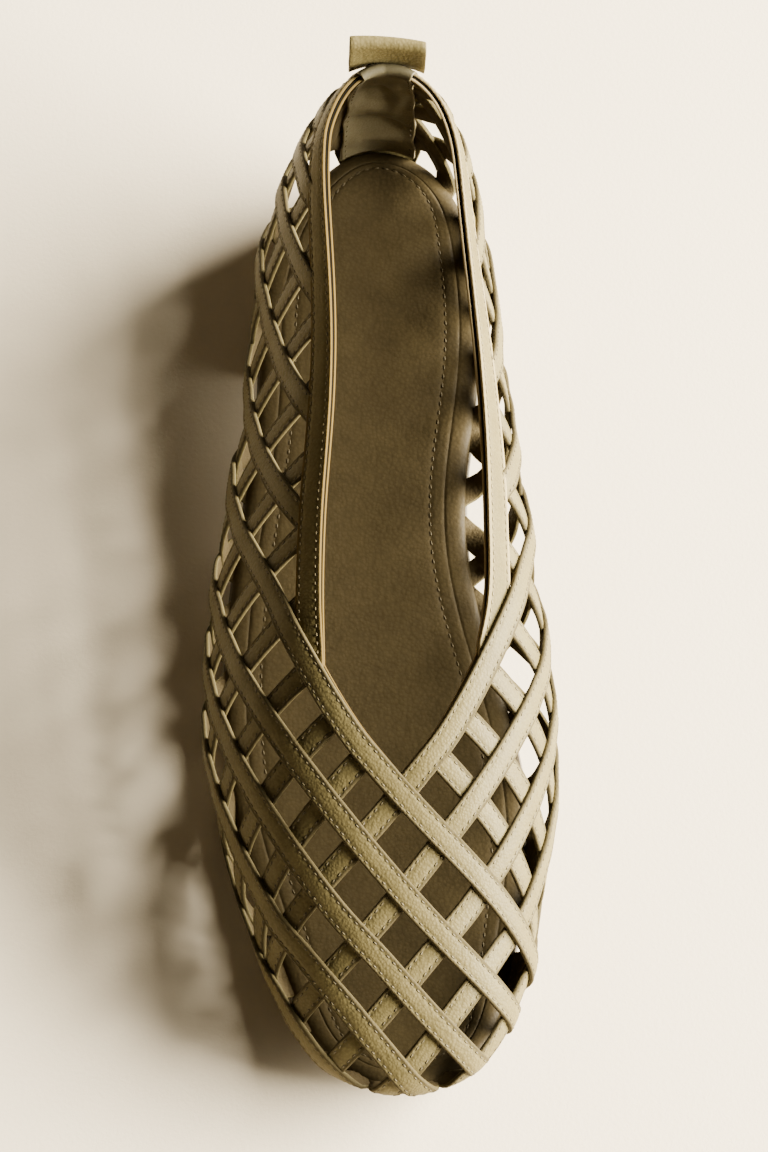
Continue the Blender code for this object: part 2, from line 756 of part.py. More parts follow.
def sole_level(surface, y):
    """Height of the named surface of the bottom at a place along the foot."""
    if surface == "tread":
        return float(tread_height(share_of(y)))
    if surface == "seat":
        return float(feather_height(share_of(y))) - FIT_GAP
    return float(feather_height(share_of(y)))


def outsole_mesh():
    """Vertices and faces of the outsole."""
    rows = [(h, i, "tread") for h, i in reversed(SOLE_BOTTOM_ROWS)]
    rows = rows + [(-h, i, "seat") for h, i in reversed(SOLE_ROWS)]
    return plate(rows, 40, "tread", "seat", sole_level)


def insole_mesh():
    """Vertices and faces of the insole."""
    rows = [(h, i, "feather") for h, i in INSOLE_ROWS]
    return plate(rows, 36, "feather", "feather", sole_level)


def heel_mesh():
    """Vertices and faces of the low heel under the back of the outsole."""
    breast = math.acos(1.0 - 2.0 * HEEL_BREAST)
    half = np.linspace(1e-5, breast, 13)
    vertices = []
    rings = []
    for height, inset in HEEL_ROWS:
        inner = inset_outline(half, inset)
        outer = inset_outline(-half, inset)
        front = -HEEL_BREAST * LAST_LENGTH + (inset - HEEL_ROWS[0][1])
        inner[-1, 1] = front
        outer[-1, 1] = front
        points = [(0.0, inner[0, 1])] + list(map(tuple, inner[1:])) + list(map(tuple, outer[:0:-1]))
        ring = []
        for x, y in points:
            ring.append(len(vertices))
            vertices.append((x, y, height))
        rings.append(ring)
    faces = []
    total = len(rings[0])
    for high, low in zip(rings[:-1], rings[1:]):
        for i in range(total):
            j = (i + 1) % total
            faces.append([low[i], low[j], high[j], high[i]])
    faces.append(list(rings[0]))
    faces.append(list(reversed(rings[-1])))
    return np.array(vertices), faces


def tab_mesh(pattern):
    """Vertices and faces of the folded pull tab on the outside of the heel."""
    top = float(COLLAR[0, 1])
    outer = WALL_LEVELS[2] + FIT_GAP + TAB_THICK / 2.0
    spots = np.array([(-(top + d), pattern.back) for d in np.linspace(TAB_LEG, 0.0, 4)])
    base = pattern.lift(spots)
    outward = pattern.normal(spots)
    outward[:, 0] = 0.0
    outward = outward / np.linalg.norm(outward, axis=1)[:, None]
    middle = float(base[-1, 0]) + TAB_SHIFT
    leg = [tuple((p + n * outer)[1:]) for p, n in zip(base, outward)]
    up = np.array([math.sin(TAB_LEAN), math.cos(TAB_LEAN)])
    back = np.array([math.cos(TAB_LEAN), -math.sin(TAB_LEAN)])
    start = np.array(leg[-1]) + np.array(TAB_STEP)
    free = np.linspace(0.0, TAB_RISE - TAB_FOLD, 4)
    front = [np.array(p) for p in leg]
    front = front + [start + up * t for t in free]
    centre = front[-1] + back * TAB_FOLD
    arc = [centre - back * TAB_FOLD * math.cos(t) + up * TAB_FOLD * math.sin(t)
           for t in np.linspace(0.0, math.pi, 9)[1:]]
    rear = [front[-1] + back * 2.0 * TAB_FOLD - up * t for t in free[1:]]
    leg_rear = [np.array(p) + np.array([outward[i, 1], outward[i, 2]]) * (TAB_THICK + FIT_GAP)
                for i, p in enumerate(leg)]
    centre_line = np.array(front + arc + rear + leg_rear[::-1][1:])
    direction = np.gradient(centre_line, axis=0)
    direction = direction / np.linalg.norm(direction, axis=1)[:, None]
    side = np.stack([-direction[:, 1], direction[:, 0]], 1) * TAB_THICK / 2.0
    outline = np.concatenate([centre_line - side, (centre_line + side)[::-1]])
    count = len(centre_line)
    height = outline[:, 1]
    low = height.min()
    blend = 1.0 - (height - low) / (height.max() - low) * TAB_CURVE_FADE
    vertices = []
    columns = np.linspace(-TAB_WIDTH / 2.0, TAB_WIDTH / 2.0, TAB_COLUMNS + 1)
    for x in columns:
        drop = TAB_CURVE - math.sqrt(TAB_CURVE ** 2 - x ** 2)
        for (y, z), share in zip(outline, blend):
            vertices.append((middle + x, y - drop * share, z))
    size = len(outline)
    faces = []
    for c in range(TAB_COLUMNS):
        for i in range(size):
            j = (i + 1) % size
            faces.append([c * size + j, c * size + i, (c + 1) * size + i, (c + 1) * size + j])
    for c, flip in ((0, False), (TAB_COLUMNS, True)):
        for i in range(count - 1):
            quad = [c * size + i, c * size + i + 1, c * size + size - 2 - i, c * size + size - 1 - i]
            faces.append(list(reversed(quad)) if flip else quad)
    return np.array(vertices), faces


def material(name, colour, rough):
    """Plain finish of one piece."""
    result = bpy.data.materials.new(name)
    result.use_nodes = True
    shader = result.node_tree.nodes["Principled BSDF"]
    shader.inputs["Base Color"].default_value = colour
    shader.inputs["Roughness"].default_value = rough
    result.diffuse_color = colour
    return result


def add_piece(collection, name, vertices, faces, finish):
    """Adds one solid to the collection."""
    mesh = bpy.data.meshes.new(name)
    corners = [tuple(map(float, v)) for v in vertices * MM]
    mesh.from_pydata(corners, [], [list(map(int, f)) for f in faces])
    mesh.validate()
    work = bmesh.new()
    work.from_mesh(mesh)
    bmesh.ops.triangulate(work, faces=work.faces[:])
    bmesh.ops.recalc_face_normals(work, faces=work.faces[:])
    work.to_mesh(mesh)
    work.free()
    mesh.materials.append(finish)
    piece = bpy.data.objects.new(name, mesh)
    collection.objects.link(piece)
    return piece


def main():
    """Builds the shoe with its box centred over the origin and its sole on the floor."""
    for item in list(bpy.data.objects):
        bpy.data.objects.remove(item, do_unlink=True)
    collection = bpy.data.collections.new(OBJECT_NAME)
    bpy.context.scene.collection.children.link(collection)
    pattern = Pattern()
    leather = material("leather", COLOUR_LEATHER, 0.55)
    sock = material("insole_leather", COLOUR_INSOLE, 0.5)
    rubber = material("sole_rubber", COLOUR_SOLE, 0.7)
    tab_leather = material("tab_leather", COLOUR_LEATHER, 0.55)
    heel_rubber = material("heel_rubber", COLOUR_SOLE, 0.7)
    solids = [
        ("upper", upper_mesh(pattern), leather),
        ("insole", insole_mesh(), sock),
        ("outsole", outsole_mesh(), rubber),
        ("heel", heel_mesh(), heel_rubber),
        ("pull_tab", tab_mesh(pattern), tab_leather),
    ]
    every = np.concatenate([solid[1][0] for solid in solids])
    low = every.min(axis=0)
    high = every.max(axis=0)
    shift = np.array([-(low[0] + high[0]) / 2.0, -(low[1] + high[1]) / 2.0, -low[2]])
    for name, (vertices, faces), finish in solids:
        add_piece(collection, name, vertices + shift, faces, finish)


main()
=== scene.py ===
"""Looks of the lattice leather flat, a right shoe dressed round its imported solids.

Shapes are worked out in millimetres in the frame of the last: its back point is the origin, the toe
points to -Y and the inner side of the foot lies at +X. Placement turns them into metres of the part.
"""

import logging
import math
from dataclasses import dataclass, field
from enum import Enum
from typing import Callable, ClassVar

import bmesh
import bpy
import numpy as np
from mathutils import Matrix, Vector


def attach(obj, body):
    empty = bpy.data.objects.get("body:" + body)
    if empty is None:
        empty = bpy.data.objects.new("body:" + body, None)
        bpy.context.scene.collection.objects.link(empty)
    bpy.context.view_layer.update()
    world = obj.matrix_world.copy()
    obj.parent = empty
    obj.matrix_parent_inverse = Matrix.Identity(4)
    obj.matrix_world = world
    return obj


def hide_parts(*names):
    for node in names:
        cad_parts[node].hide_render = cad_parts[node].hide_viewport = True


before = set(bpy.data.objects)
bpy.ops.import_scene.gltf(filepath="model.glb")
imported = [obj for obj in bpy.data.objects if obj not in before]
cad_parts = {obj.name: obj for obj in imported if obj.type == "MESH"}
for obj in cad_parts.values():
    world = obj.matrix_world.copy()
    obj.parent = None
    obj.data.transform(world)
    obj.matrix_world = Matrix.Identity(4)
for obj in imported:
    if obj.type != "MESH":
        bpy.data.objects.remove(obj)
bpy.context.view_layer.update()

MM = 0.001
TINY = 1e-9
NORMAL_BLUR = 1.5
FLESH_AND_SHADE_RANGE = (-0.2, -0.9)
CELL_SMOOTHNESS = 0.35
BODY = "root"
LOG = logging.getLogger("lattice_flat")
Array = np.ndarray
Curve = Callable[[Array], Array]
Rows = tuple[tuple[float, ...], ...]
Triple = tuple[float, float, float]
Pair = tuple[float, float]
Lines = list[tuple[Array, Array]]
Socket = bpy.types.NodeSocket
Material = bpy.types.Material


def natural_curve(knots: Array, values: Array) -> Curve:
    """Natural cubic curve through the knots.

    Args:
        knots: rising places of the knots.
        values: value at each knot.

    Returns:
        A function that gives the value at any place.
    """
    step = np.diff(knots)
    count = len(knots)
    matrix = np.eye(count)
    right = np.zeros(count)
    for i in range(1, count - 1):
        matrix[i, i - 1] = step[i - 1]
        matrix[i, i] = 2.0 * (step[i - 1] + step[i])
        matrix[i, i + 1] = step[i]
        ahead = (values[i + 1] - values[i]) / step[i]
        behind = (values[i] - values[i - 1]) / step[i - 1]
        right[i] = 6.0 * (ahead - behind)
    bend = np.linalg.solve(matrix, right)

    def value(place: Array) -> Array:
        """Value of the curve at a place."""
        place = np.asarray(place, float)
        i = np.clip(np.searchsorted(knots, place) - 1, 0, count - 2)
        left = place - knots[i]
        rest = knots[i + 1] - place
        h = step[i]
        return ((bend[i] * rest ** 3 + bend[i + 1] * left ** 3) / (6.0 * h)
                + (values[i] / h - bend[i] * h / 6.0) * rest
                + (values[i + 1] / h - bend[i + 1] * h / 6.0) * left)

    return value


def gentle_curve(knots: Array, values: Array) -> Curve:
    """Curve through the knots that never overshoots them.

    Args:
        knots: rising places of the knots.
        values: value at each knot.

    Returns:
        A function that gives the value at any place, held level past the ends.
    """
    step = np.diff(knots)
    rate = np.diff(values) / step
    tangent = np.zeros(len(knots))
    for i in range(1, len(knots) - 1):
        if rate[i - 1] * rate[i] > 0:
            first = 2.0 * step[i] + step[i - 1]
            second = step[i] + 2.0 * step[i - 1]
            tangent[i] = (first + second) / (first / rate[i - 1] + second / rate[i])
    tangent[0] = rate[0]
    tangent[-1] = rate[-1]

    def value(place: Array) -> Array:
        """Value of the curve at a place."""
        place = np.clip(np.asarray(place, float), knots[0], knots[-1])
        i = np.clip(np.searchsorted(knots, place) - 1, 0, len(knots) - 2)
        t = (place - knots[i]) / step[i]
        return ((2 * t ** 3 - 3 * t ** 2 + 1) * values[i]
                + (t ** 3 - 2 * t ** 2 + t) * step[i] * tangent[i]
                + (3 * t ** 2 - 2 * t ** 3) * values[i + 1]
                + (t ** 3 - t ** 2) * step[i] * tangent[i + 1])

    return value


def smooth_step(value: Array) -> Array:
    """Soft ramp from 0 to 1 as the value goes from 0 to 1."""
    value = np.clip(value, 0.0, 1.0)
    return value * value * (3.0 - 2.0 * value)


def unit(vectors: Array) -> Array:
    """Vectors scaled to length one."""
    return vectors / np.maximum(np.linalg.norm(vectors, axis=-1, keepdims=True), TINY)


def blur(values: Array, reach: float) -> Array:
    """Values along a line softened over a number of samples, with the ends held.

    Args:
        values: one row for each sample.
        reach: standard width of the blur in samples.

    Returns:
        The softened rows.
    """
    half = int(3 * reach) + 1
    weight = np.exp(-0.5 * (np.arange(-half, half + 1) / reach) ** 2)
    weight = weight / weight.sum()
    rows = np.asarray(values, float).reshape(len(values), -1)
    padded = np.concatenate([np.repeat(rows[:1], half, 0), rows, np.repeat(rows[-1:], half, 0)])
    soft = np.stack([np.convolve(padded[:, k], weight, "valid") for k in range(rows.shape[1])], 1)
    return soft.reshape(np.asarray(values).shape)


def soft_rows(normals: Array) -> Array:
    """Directions over a grid, softened along every row."""
    return np.stack([unit(blur(row, NORMAL_BLUR)) for row in normals])


def marks_along(line: Array) -> Array:
    """Distance of every point of a line from its start."""
    step = np.linalg.norm(np.diff(line, axis=0), axis=1)
    return np.concatenate([[0.0], np.cumsum(step)])


def evenly(line: Array, count: int) -> Array:
    """Points at an even step along a flat line."""
    marks = marks_along(line)
    at = np.linspace(0.0, marks[-1], count)
    return np.stack([np.interp(at, marks, line[:, k]) for k in (0, 1)], 1)


def bands(rows: int, ring: int) -> list[list[int]]:
    """Faces between neighbouring rings of corners."""
    faces = []
    for i in range(rows - 1):
        for k in range(ring):
            j = (k + 1) % ring
            faces.append([i * ring + k, i * ring + j, (i + 1) * ring + j, (i + 1) * ring + k])
    return faces


@dataclass(frozen=True)
class Placement:
    """Where the last stands in the part, and how far the seat of its heel is drawn in under the back."""

    back_point: Triple = (3.475, 120.532, 0.0)
    heel_tuck: float = 4.4
    tuck_run: float = 78.0
    tuck_low: float = 15.0
    tuck_high: float = 46.0

    def to_part(self, points: Array) -> Array:
        """Millimetres of the last turned into metres of the part, with the heel drawn in.

        Args:
            points: points in the frame of the last, last axis of three.

        Returns:
            Points in the frame of the part.
        """
        moved = np.array(points, float)
        near = 1.0 - smooth_step(-moved[..., 1] / self.tuck_run)
        low = 1.0 - smooth_step((moved[..., 2] - self.tuck_low) / (self.tuck_high - self.tuck_low))
        moved[..., 1] -= self.heel_tuck * near * low
        return (moved + np.array(self.back_point)) * MM


@dataclass
class Last:
    """The form that the shoe is made on, as a feather edge, a ridge and the curve between them.

    Rows of outline: share of the length from the heel, half width outside and inside.
    Rows of flare: share, outward lean at the feather edge outside and inside, in radians.
    Rows of the other tables: share of the length, value.
    """

    length: float = 242.0
    heel_pivot: float = 0.12
    toe_pivot: float = 0.85
    outline: Rows = ((0.00, 0.0, 0.0), (0.06, 19.6, 20.2), (0.16, 28.8, 25.2), (0.30, 31.8, 25.4),
                     (0.44, 37.5, 23.8), (0.58, 41.0, 29.8), (0.72, 38.8, 33.8), (0.86, 29.5, 28.8),
                     (0.95, 21.2, 21.8), (1.00, 0.0, 0.0))
    feather: Rows = ((0.0, 14.0), (0.25, 13.0), (0.45, 9.0), (0.70, 5.0), (0.85, 6.0), (1.0, 11.0))
    ridge: Rows = ((0.12, 75.7), (0.35, 62.2), (0.55, 58.5), (0.70, 51.4), (0.85, 37.1))
    spine: Rows = ((0.12, 2.4), (0.30, 0.9), (0.50, 0.0), (0.85, 0.0))
    tuck: Rows = ((0.0, 0.8), (0.2, 1.0), (0.4, 2.0), (1.0, 2.0))
    flare: Rows = ((0.00, -0.02, -0.02), (0.20, -0.04, 0.05), (0.44, 0.12, 0.60), (0.72, 0.20, 0.20),
                   (1.00, 0.20, 0.20))
    roundness: Rows = ((0.0, 1.90), (0.3, 1.70), (0.5, 1.70), (0.72, 2.07), (1.0, 2.30))
    waist_tuck: float = 2.2
    waist_turn: float = 1.50
    waist_spread: float = 0.40
    tuck_reach: float = 11.0
    curves: dict[str, Curve] = field(init=False, default_factory=dict)

    def __post_init__(self) -> None:
        """Prepares the curves through the tables."""
        outline = np.array(self.outline)
        turn = np.arccos(1.0 - 2.0 * outline[:, 0])
        flare = np.array(self.flare)
        self.curves["outside"] = natural_curve(turn, outline[:, 1])
        self.curves["inside"] = natural_curve(turn, outline[:, 2])
        self.curves["ridge"] = natural_curve(*np.array(self.ridge).T)
        self.curves["flare_out"] = natural_curve(flare[:, 0], flare[:, 1])
        self.curves["flare_in"] = natural_curve(flare[:, 0], flare[:, 2])
        for name in ("feather", "roundness", "spine", "tuck"):
            self.curves[name] = gentle_curve(*np.array(getattr(self, name)).T)

    def plan(self, turn: Array) -> tuple[Array, Array]:
        """Plan of the feather edge.

        Args:
            turn: 0 at the heel to pi at the toe, negative on the outer side.

        Returns:
            Place across the foot and share of the length.
        """
        size = np.abs(turn)
        share = (1.0 - np.cos(size)) / 2.0
        across = np.where(turn < 0, -self.curves["outside"](size), self.curves["inside"](size))
        return across, share

    def tuck_depth(self, turn: Array) -> Array:
        """How far the wall is tucked under the foot at the feather edge."""
        waist = np.where(turn > 0, np.exp(-((turn - self.waist_turn) / self.waist_spread) ** 2), 0.0)
        return self.curves["tuck"]((1.0 - np.cos(turn)) / 2.0) + self.waist_tuck * waist

    def ridge_slope(self, share: Array) -> Array:
        """Slope of the ridge over the share of the length."""
        step = 1e-4
        return (self.curves["ridge"](share + step) - self.curves["ridge"](share - step)) / (2.0 * step)

    def point(self, turn: Array, rise: Array) -> Array:
        """Points of the surface.

        Args:
            turn: place round the feather edge.
            rise: 0 at the feather edge and pi/2 at the ridge.

        Returns:
            Points in millimetres, last axis of three.
        """
        across, share = self.plan(turn)
        along = -share * self.length
        pivot = np.clip(share, self.heel_pivot, self.toe_pivot)
        centre = -pivot * self.length
        middle = self.curves["spine"](pivot)
        away = along - centre
        across = across - middle
        reach = np.maximum(np.hypot(across, away), TINY)
        low = self.curves["feather"](share)
        top = self.curves["ridge"](pivot)
        tilt = -self.ridge_slope(pivot) / self.length * away / reach
        flare = np.where(turn < 0, self.curves["flare_out"](share), self.curves["flare_in"](share))
        height = (top - low + tilt * reach) / (np.cos(flare) - tilt * np.sin(flare))
        spread = reach + height * np.sin(flare)
        power = 2.0 / self.curves["roundness"](share)
        side = np.maximum(np.cos(rise), 0.0) ** power
        up = np.maximum(np.sin(rise), 0.0) ** power
        out = -height * np.sin(flare) + spread * side + height * np.sin(flare) * up
        base = top - height * np.cos(flare)
        level = base + (low - base) * side + height * np.cos(flare) * up
        over = np.clip(1.0 - (level - low) / self.tuck_reach, 0.0, 1.0)
        out = out - self.tuck_depth(turn) * over ** 2
        return np.stack([middle + across / reach * out, centre + away / reach * out, level], -1)

    def edge(self, turn: Array, inset: float | Array) -> Array:
        """Plan points of the tucked feather edge pulled in by an inset.

        Args:
            turn: places round the edge.
            inset: distance to the inside, one value or one for each place.

        Returns:
            Points across and along the foot.
        """
        depth = (np.asarray(inset) + self.tuck_depth(turn))[:, None]
        step = 1e-4
        ahead = np.stack(self.plan(turn + step), -1)
        behind = np.stack(self.plan(turn - step), -1)
        tangent = unit((ahead - behind) * np.array([1.0, -self.length]))
        inward = np.stack([tangent[:, 1], -tangent[:, 0]], -1)
        across, share = self.plan(turn)
        points = np.stack([across, -share * self.length], -1)
        spine = np.clip(points[:, 1], -self.toe_pivot * self.length, -self.heel_pivot * self.length)
        middle = np.stack([np.zeros(len(turn)), spine], -1)
        flip = np.sign(np.sum(inward * (middle - points), axis=1))
        return points + inward * flip[:, None] * depth


@dataclass
class Pattern:
    """The wall of the last laid flat: distance from the ridge across, place along the foot up."""

    last: Last
    heel_unroll: float = 24.0
    toe_unroll: float = 40.0
    turn_count: int = 601
    rise_count: int = 141
    wrap_rise: float = 2.2
    wrap_radius: float = 1.2
    turn_margin: float = 1e-6

    def __post_init__(self) -> None:
        """Measures both sides of the last."""
        self.heel = -self.last.heel_pivot * self.last.length
        self.toe = -self.last.toe_pivot * self.last.length
        self.back = self.heel + self.heel_unroll * math.pi / 2.0
        self.turns = np.linspace(self.turn_margin, math.pi - self.turn_margin, self.turn_count)
        self.rises = np.linspace(0.0, math.pi / 2.0, self.rise_count)
        self.sides = {-1: self.measure(-1), 1: self.measure(1)}

    def measure(self, side: int) -> tuple[Array, Array]:
        """Arc lengths from the ridge and the place of every section.

        Args:
            side: -1 for the outer side, 1 for the inner side.

        Returns:
            Arc lengths, one row for each section, and the place of each section.
        """
        turn, rise = np.meshgrid(side * self.turns, self.rises, indexing="ij")
        points = self.last.point(turn, rise)
        piece = np.linalg.norm(np.diff(points[:, ::-1], axis=1), axis=2)
        arc = np.concatenate([np.zeros((self.turn_count, 1)), np.cumsum(piece, axis=1)], axis=1)
        across, share = self.last.plan(side * self.turns)
        along = -share * self.last.length
        pivot = -np.clip(share, self.last.heel_pivot, self.last.toe_pivot) * self.last.length
        away = side * (across - self.last.curves["spine"](-pivot / self.last.length))
        angle = np.arctan2(along - pivot, away)
        turned = self.heel + self.heel_unroll * angle / angle[0] * math.pi / 2.0
        front = self.toe + self.toe_unroll * angle
        place = np.where(along > self.heel, turned, np.where(along < self.toe, front, along))
        return arc, place

    def split(self, spots: Array) -> tuple[Array, Array, Array]:
        """Side, section place and distance from the ridge of pattern points."""
        side = np.where(spots[:, 0] < 0, -1, 1)
        place = spots[:, 1].copy()
        reach = np.abs(spots[:, 0])
        front = spots[:, 1] < self.toe
        angle = np.arctan2(spots[front, 1] - self.toe, np.abs(spots[front, 0]))
        place[front] = self.toe + self.toe_unroll * angle
        reach[front] = np.hypot(spots[front, 0], spots[front, 1] - self.toe)
        return side, place, reach

    def limit(self, side: Array, place: Array) -> Array:
        """Distance from the ridge to the feather edge at section places."""
        result = np.zeros(len(side))
        for hand in (-1, 1):
            mask = side == hand
            arc, places = self.sides[hand]
            result[mask] = np.interp(-place[mask], -places, arc[:, -1])
        return result

    def lift(self, spots: Array) -> Array:
        """Points of the last over pattern points, held at the feather edge."""
        side, place, reach = self.split(np.asarray(spots, float))
        result = np.zeros((len(side), 3))
        for hand in (-1, 1):
            mask = side == hand
            if not mask.any():
                continue
            arc, places = self.sides[hand]
            where = np.interp(-place[mask], -places, np.arange(self.turn_count))
            low = np.clip(where.astype(int), 0, self.turn_count - 2)
            mix = (where - low)[:, None]
            row = arc[low] * (1.0 - mix) + arc[low + 1] * mix
            k = np.clip((row < reach[mask][:, None]).sum(axis=1) - 1, 0, self.rise_count - 2)
            at = np.arange(len(k))
            part = np.clip((reach[mask] - row[at, k]) / (row[at, k + 1] - row[at, k]), 0.0, 1.0)
            rise = math.pi / 2.0 * (1.0 - (k + part) / (self.rise_count - 1))
            turn = hand * np.interp(where, np.arange(self.turn_count), self.turns)
            result[mask] = self.last.point(turn, rise)
        return result

    def frame(self, spots: Array) -> tuple[Array, Array]:
        """Tangents across and along the pattern on the last."""
        step = 0.5
        across = np.array([step, 0.0])
        over = np.minimum(spots[:, 1] + step, self.back)
        upper = np.stack([spots[:, 0], over], 1)
        lower = spots - np.array([0.0, step])
        dx = (self.lift(spots + across) - self.lift(spots - across)) / (2.0 * step)
        dy = (self.lift(upper) - self.lift(lower)) / (over - lower[:, 1])[:, None]
        return dx, dy

    def held(self, spots: Array) -> tuple[Array, Array]:
        """Pattern points held where the wrap under the foot begins, and their distance short of it."""
        spots = np.array(spots, float)
        side, place, reach = self.split(spots)
        limit = self.limit(side, place) - self.wrap_rise
        share = np.where(reach > limit, limit / np.maximum(reach, TINY), 1.0)
        held = spots.copy()
        held[:, 0] *= share
        front = spots[:, 1] < self.toe
        held[front, 1] = self.toe + (spots[front, 1] - self.toe) * share[front]
        return held, limit - reach

    def sideways(self, spots: Array) -> Array:
        """Steps in the pattern that lead one millimetre to the left of a line on the last."""
        held, _ = self.held(spots)
        dx, dy = self.frame(held)
        ahead = np.gradient(spots, axis=0)
        tangent = dx * ahead[:, :1] + dy * ahead[:, 1:]
        left = unit(np.cross(unit(np.cross(dx, dy)), unit(tangent)))
        xx, xy, yy = [np.sum(first * second, axis=1) for first, second in ((dx, dx), (dx, dy), (dy, dy))]
        x = np.sum(dx * left, axis=1)
        y = np.sum(dy * left, axis=1)
        size = xx * yy - xy * xy
        return np.stack([(yy * x - xy * y) / size, (xx * y - xy * x) / size], 1)

    def lay(self, spots: Array) -> tuple[Array, Array]:
        """Lays pattern points on the last, wrapping what runs past the feather edge under the foot.

        Args:
            spots: pattern points.

        Returns:
            Points on the last and outward normals.
        """
        held, spare = self.held(spots)
        past = np.maximum(-spare, 0.0)
        base = self.lift(held)
        dx, dy = self.frame(held)
        normal = unit(np.cross(dx, dy))
        down = unit(np.array([0.0, 0.0, -1.0]) + normal * normal[:, 2][:, None])
        most = np.arccos(np.clip(-normal[:, 2], -1.0, 1.0))
        angle = np.minimum(past / self.wrap_radius, most)[:, None]
        flat = np.maximum(past - self.wrap_radius * most, 0.0)[:, None]
        point = base + self.wrap_radius * (down * np.sin(angle) - normal * (1.0 - np.cos(angle)))
        point = point + (down * np.cos(angle) - normal * np.sin(angle)) * flat
        return point, normal * np.cos(angle) + down * np.sin(angle)


@dataclass
class MeshData:
    """Corners, faces and the edge tone of a mesh, in millimetres of the last."""

    vertices: Array
    faces: list[list[int]]
    tone: Array

    @staticmethod
    def joined(parts: list["MeshData"]) -> "MeshData":
        """Several meshes as one."""
        vertices = []
        faces: list[list[int]] = []
        tone = []
        start = 0
        for part in parts:
            vertices.append(part.vertices)
            tone.append(part.tone)
            faces.extend([[v + start for v in face] for face in part.faces])
            start += len(part.vertices)
        return MeshData(np.concatenate(vertices), faces, np.concatenate(tone))


@dataclass
class Section:
    """Closed cross section of a strip: places across and over its line, and the tone of each corner.

    Rows of channel: place from the stitch row, rise over the face, tone.
    Rows of cut: place from the cut edge, distance below the face, tone; the first one lies at half thickness.
    """

    across: Array
    over: Array
    tone: Array
    fold: ClassVar[float] = 0.42
    fold_angles: ClassVar[tuple[float, ...]] = (180.0, 150.0, 120.0, 90.0)
    channel: ClassVar[Rows] = ((-0.30, -0.01, 0.35), (0.0, -0.13, 0.0), (0.34, 0.01, 0.1))
    crown_place: ClassVar[float] = 0.42
    crown: ClassVar[Pair] = (0.05, 0.07)
    under_rise: ClassVar[float] = 0.22
    under_inset: ClassVar[float] = 0.2
    cut: ClassVar[Rows] = ((0.0, 0.0, 1.0), (0.0, 0.16, 1.0), (0.05, 0.05, 1.0), (0.16, 0.0, 0.6))
    cut_bevel: ClassVar[float] = 0.06

    @staticmethod
    def tape(width: float, thick: float, stitch_inset: float) -> "Section":
        """Folded tape with rounded edges, a shallow channel under each stitch row and a low crown.

        Args:
            width: full width.
            thick: thickness.
            stitch_inset: distance of the stitch rows from the edges.

        Returns:
            The section, from the left edge over the top to the underside.
        """
        half = width / 2.0
        fold = Section.fold
        row = half - stitch_inset
        left: list[Triple] = []
        for angle in Section.fold_angles:
            turn = math.radians(angle)
            left.append((-half + fold + fold * math.cos(turn), thick - fold + fold * math.sin(turn), 1.0))
        left.extend((-row + place, thick + rise, tone) for place, rise, tone in Section.channel)
        left.append((-row * Section.crown_place, thick + Section.crown[0], 0.0))
        middle = (0.0, thick + Section.crown[1], 0.0)
        right = [(-place, rise, tone) for place, rise, tone in reversed(left)]
        under = [(half, Section.under_rise, 0.5), (half - Section.under_inset, 0.0, -1.0)]
        under += [(-place, rise, tone) for place, rise, tone in reversed(under)]
        rows = np.array([*left, middle, *right, *under])
        return Section(rows[:, 0], rows[:, 1], rows[:, 2])

    @staticmethod
    def cut_band(width: float, thick: float, stitch_inset: float) -> "Section":
        """Leather band with a square cut edge on the left and a folded edge on the right.

        Args:
            width: full width.
            thick: thickness.
            stitch_inset: distance of the stitch rows from the edges.

        Returns:
            The section, from the cut edge over the top to the underside.
        """
        tape = Section.tape(width, thick, stitch_inset)
        half = width / 2.0
        across = tape.across.copy()
        over = tape.over.copy()
        tone = tape.tone.copy()
        cut = np.array(Section.cut)
        across[:len(cut)] = cut[:, 0] - half
        over[:len(cut)] = thick - cut[:, 1]
        over[0] = thick * 0.5
        tone[:len(cut)] = cut[:, 2]
        across[-2:] = (Section.cut_bevel - half, -half)
        over[-2:] = (0.0, Section.cut_bevel)
        tone[-2:] = 1.0
        return Section(across, over, tone)


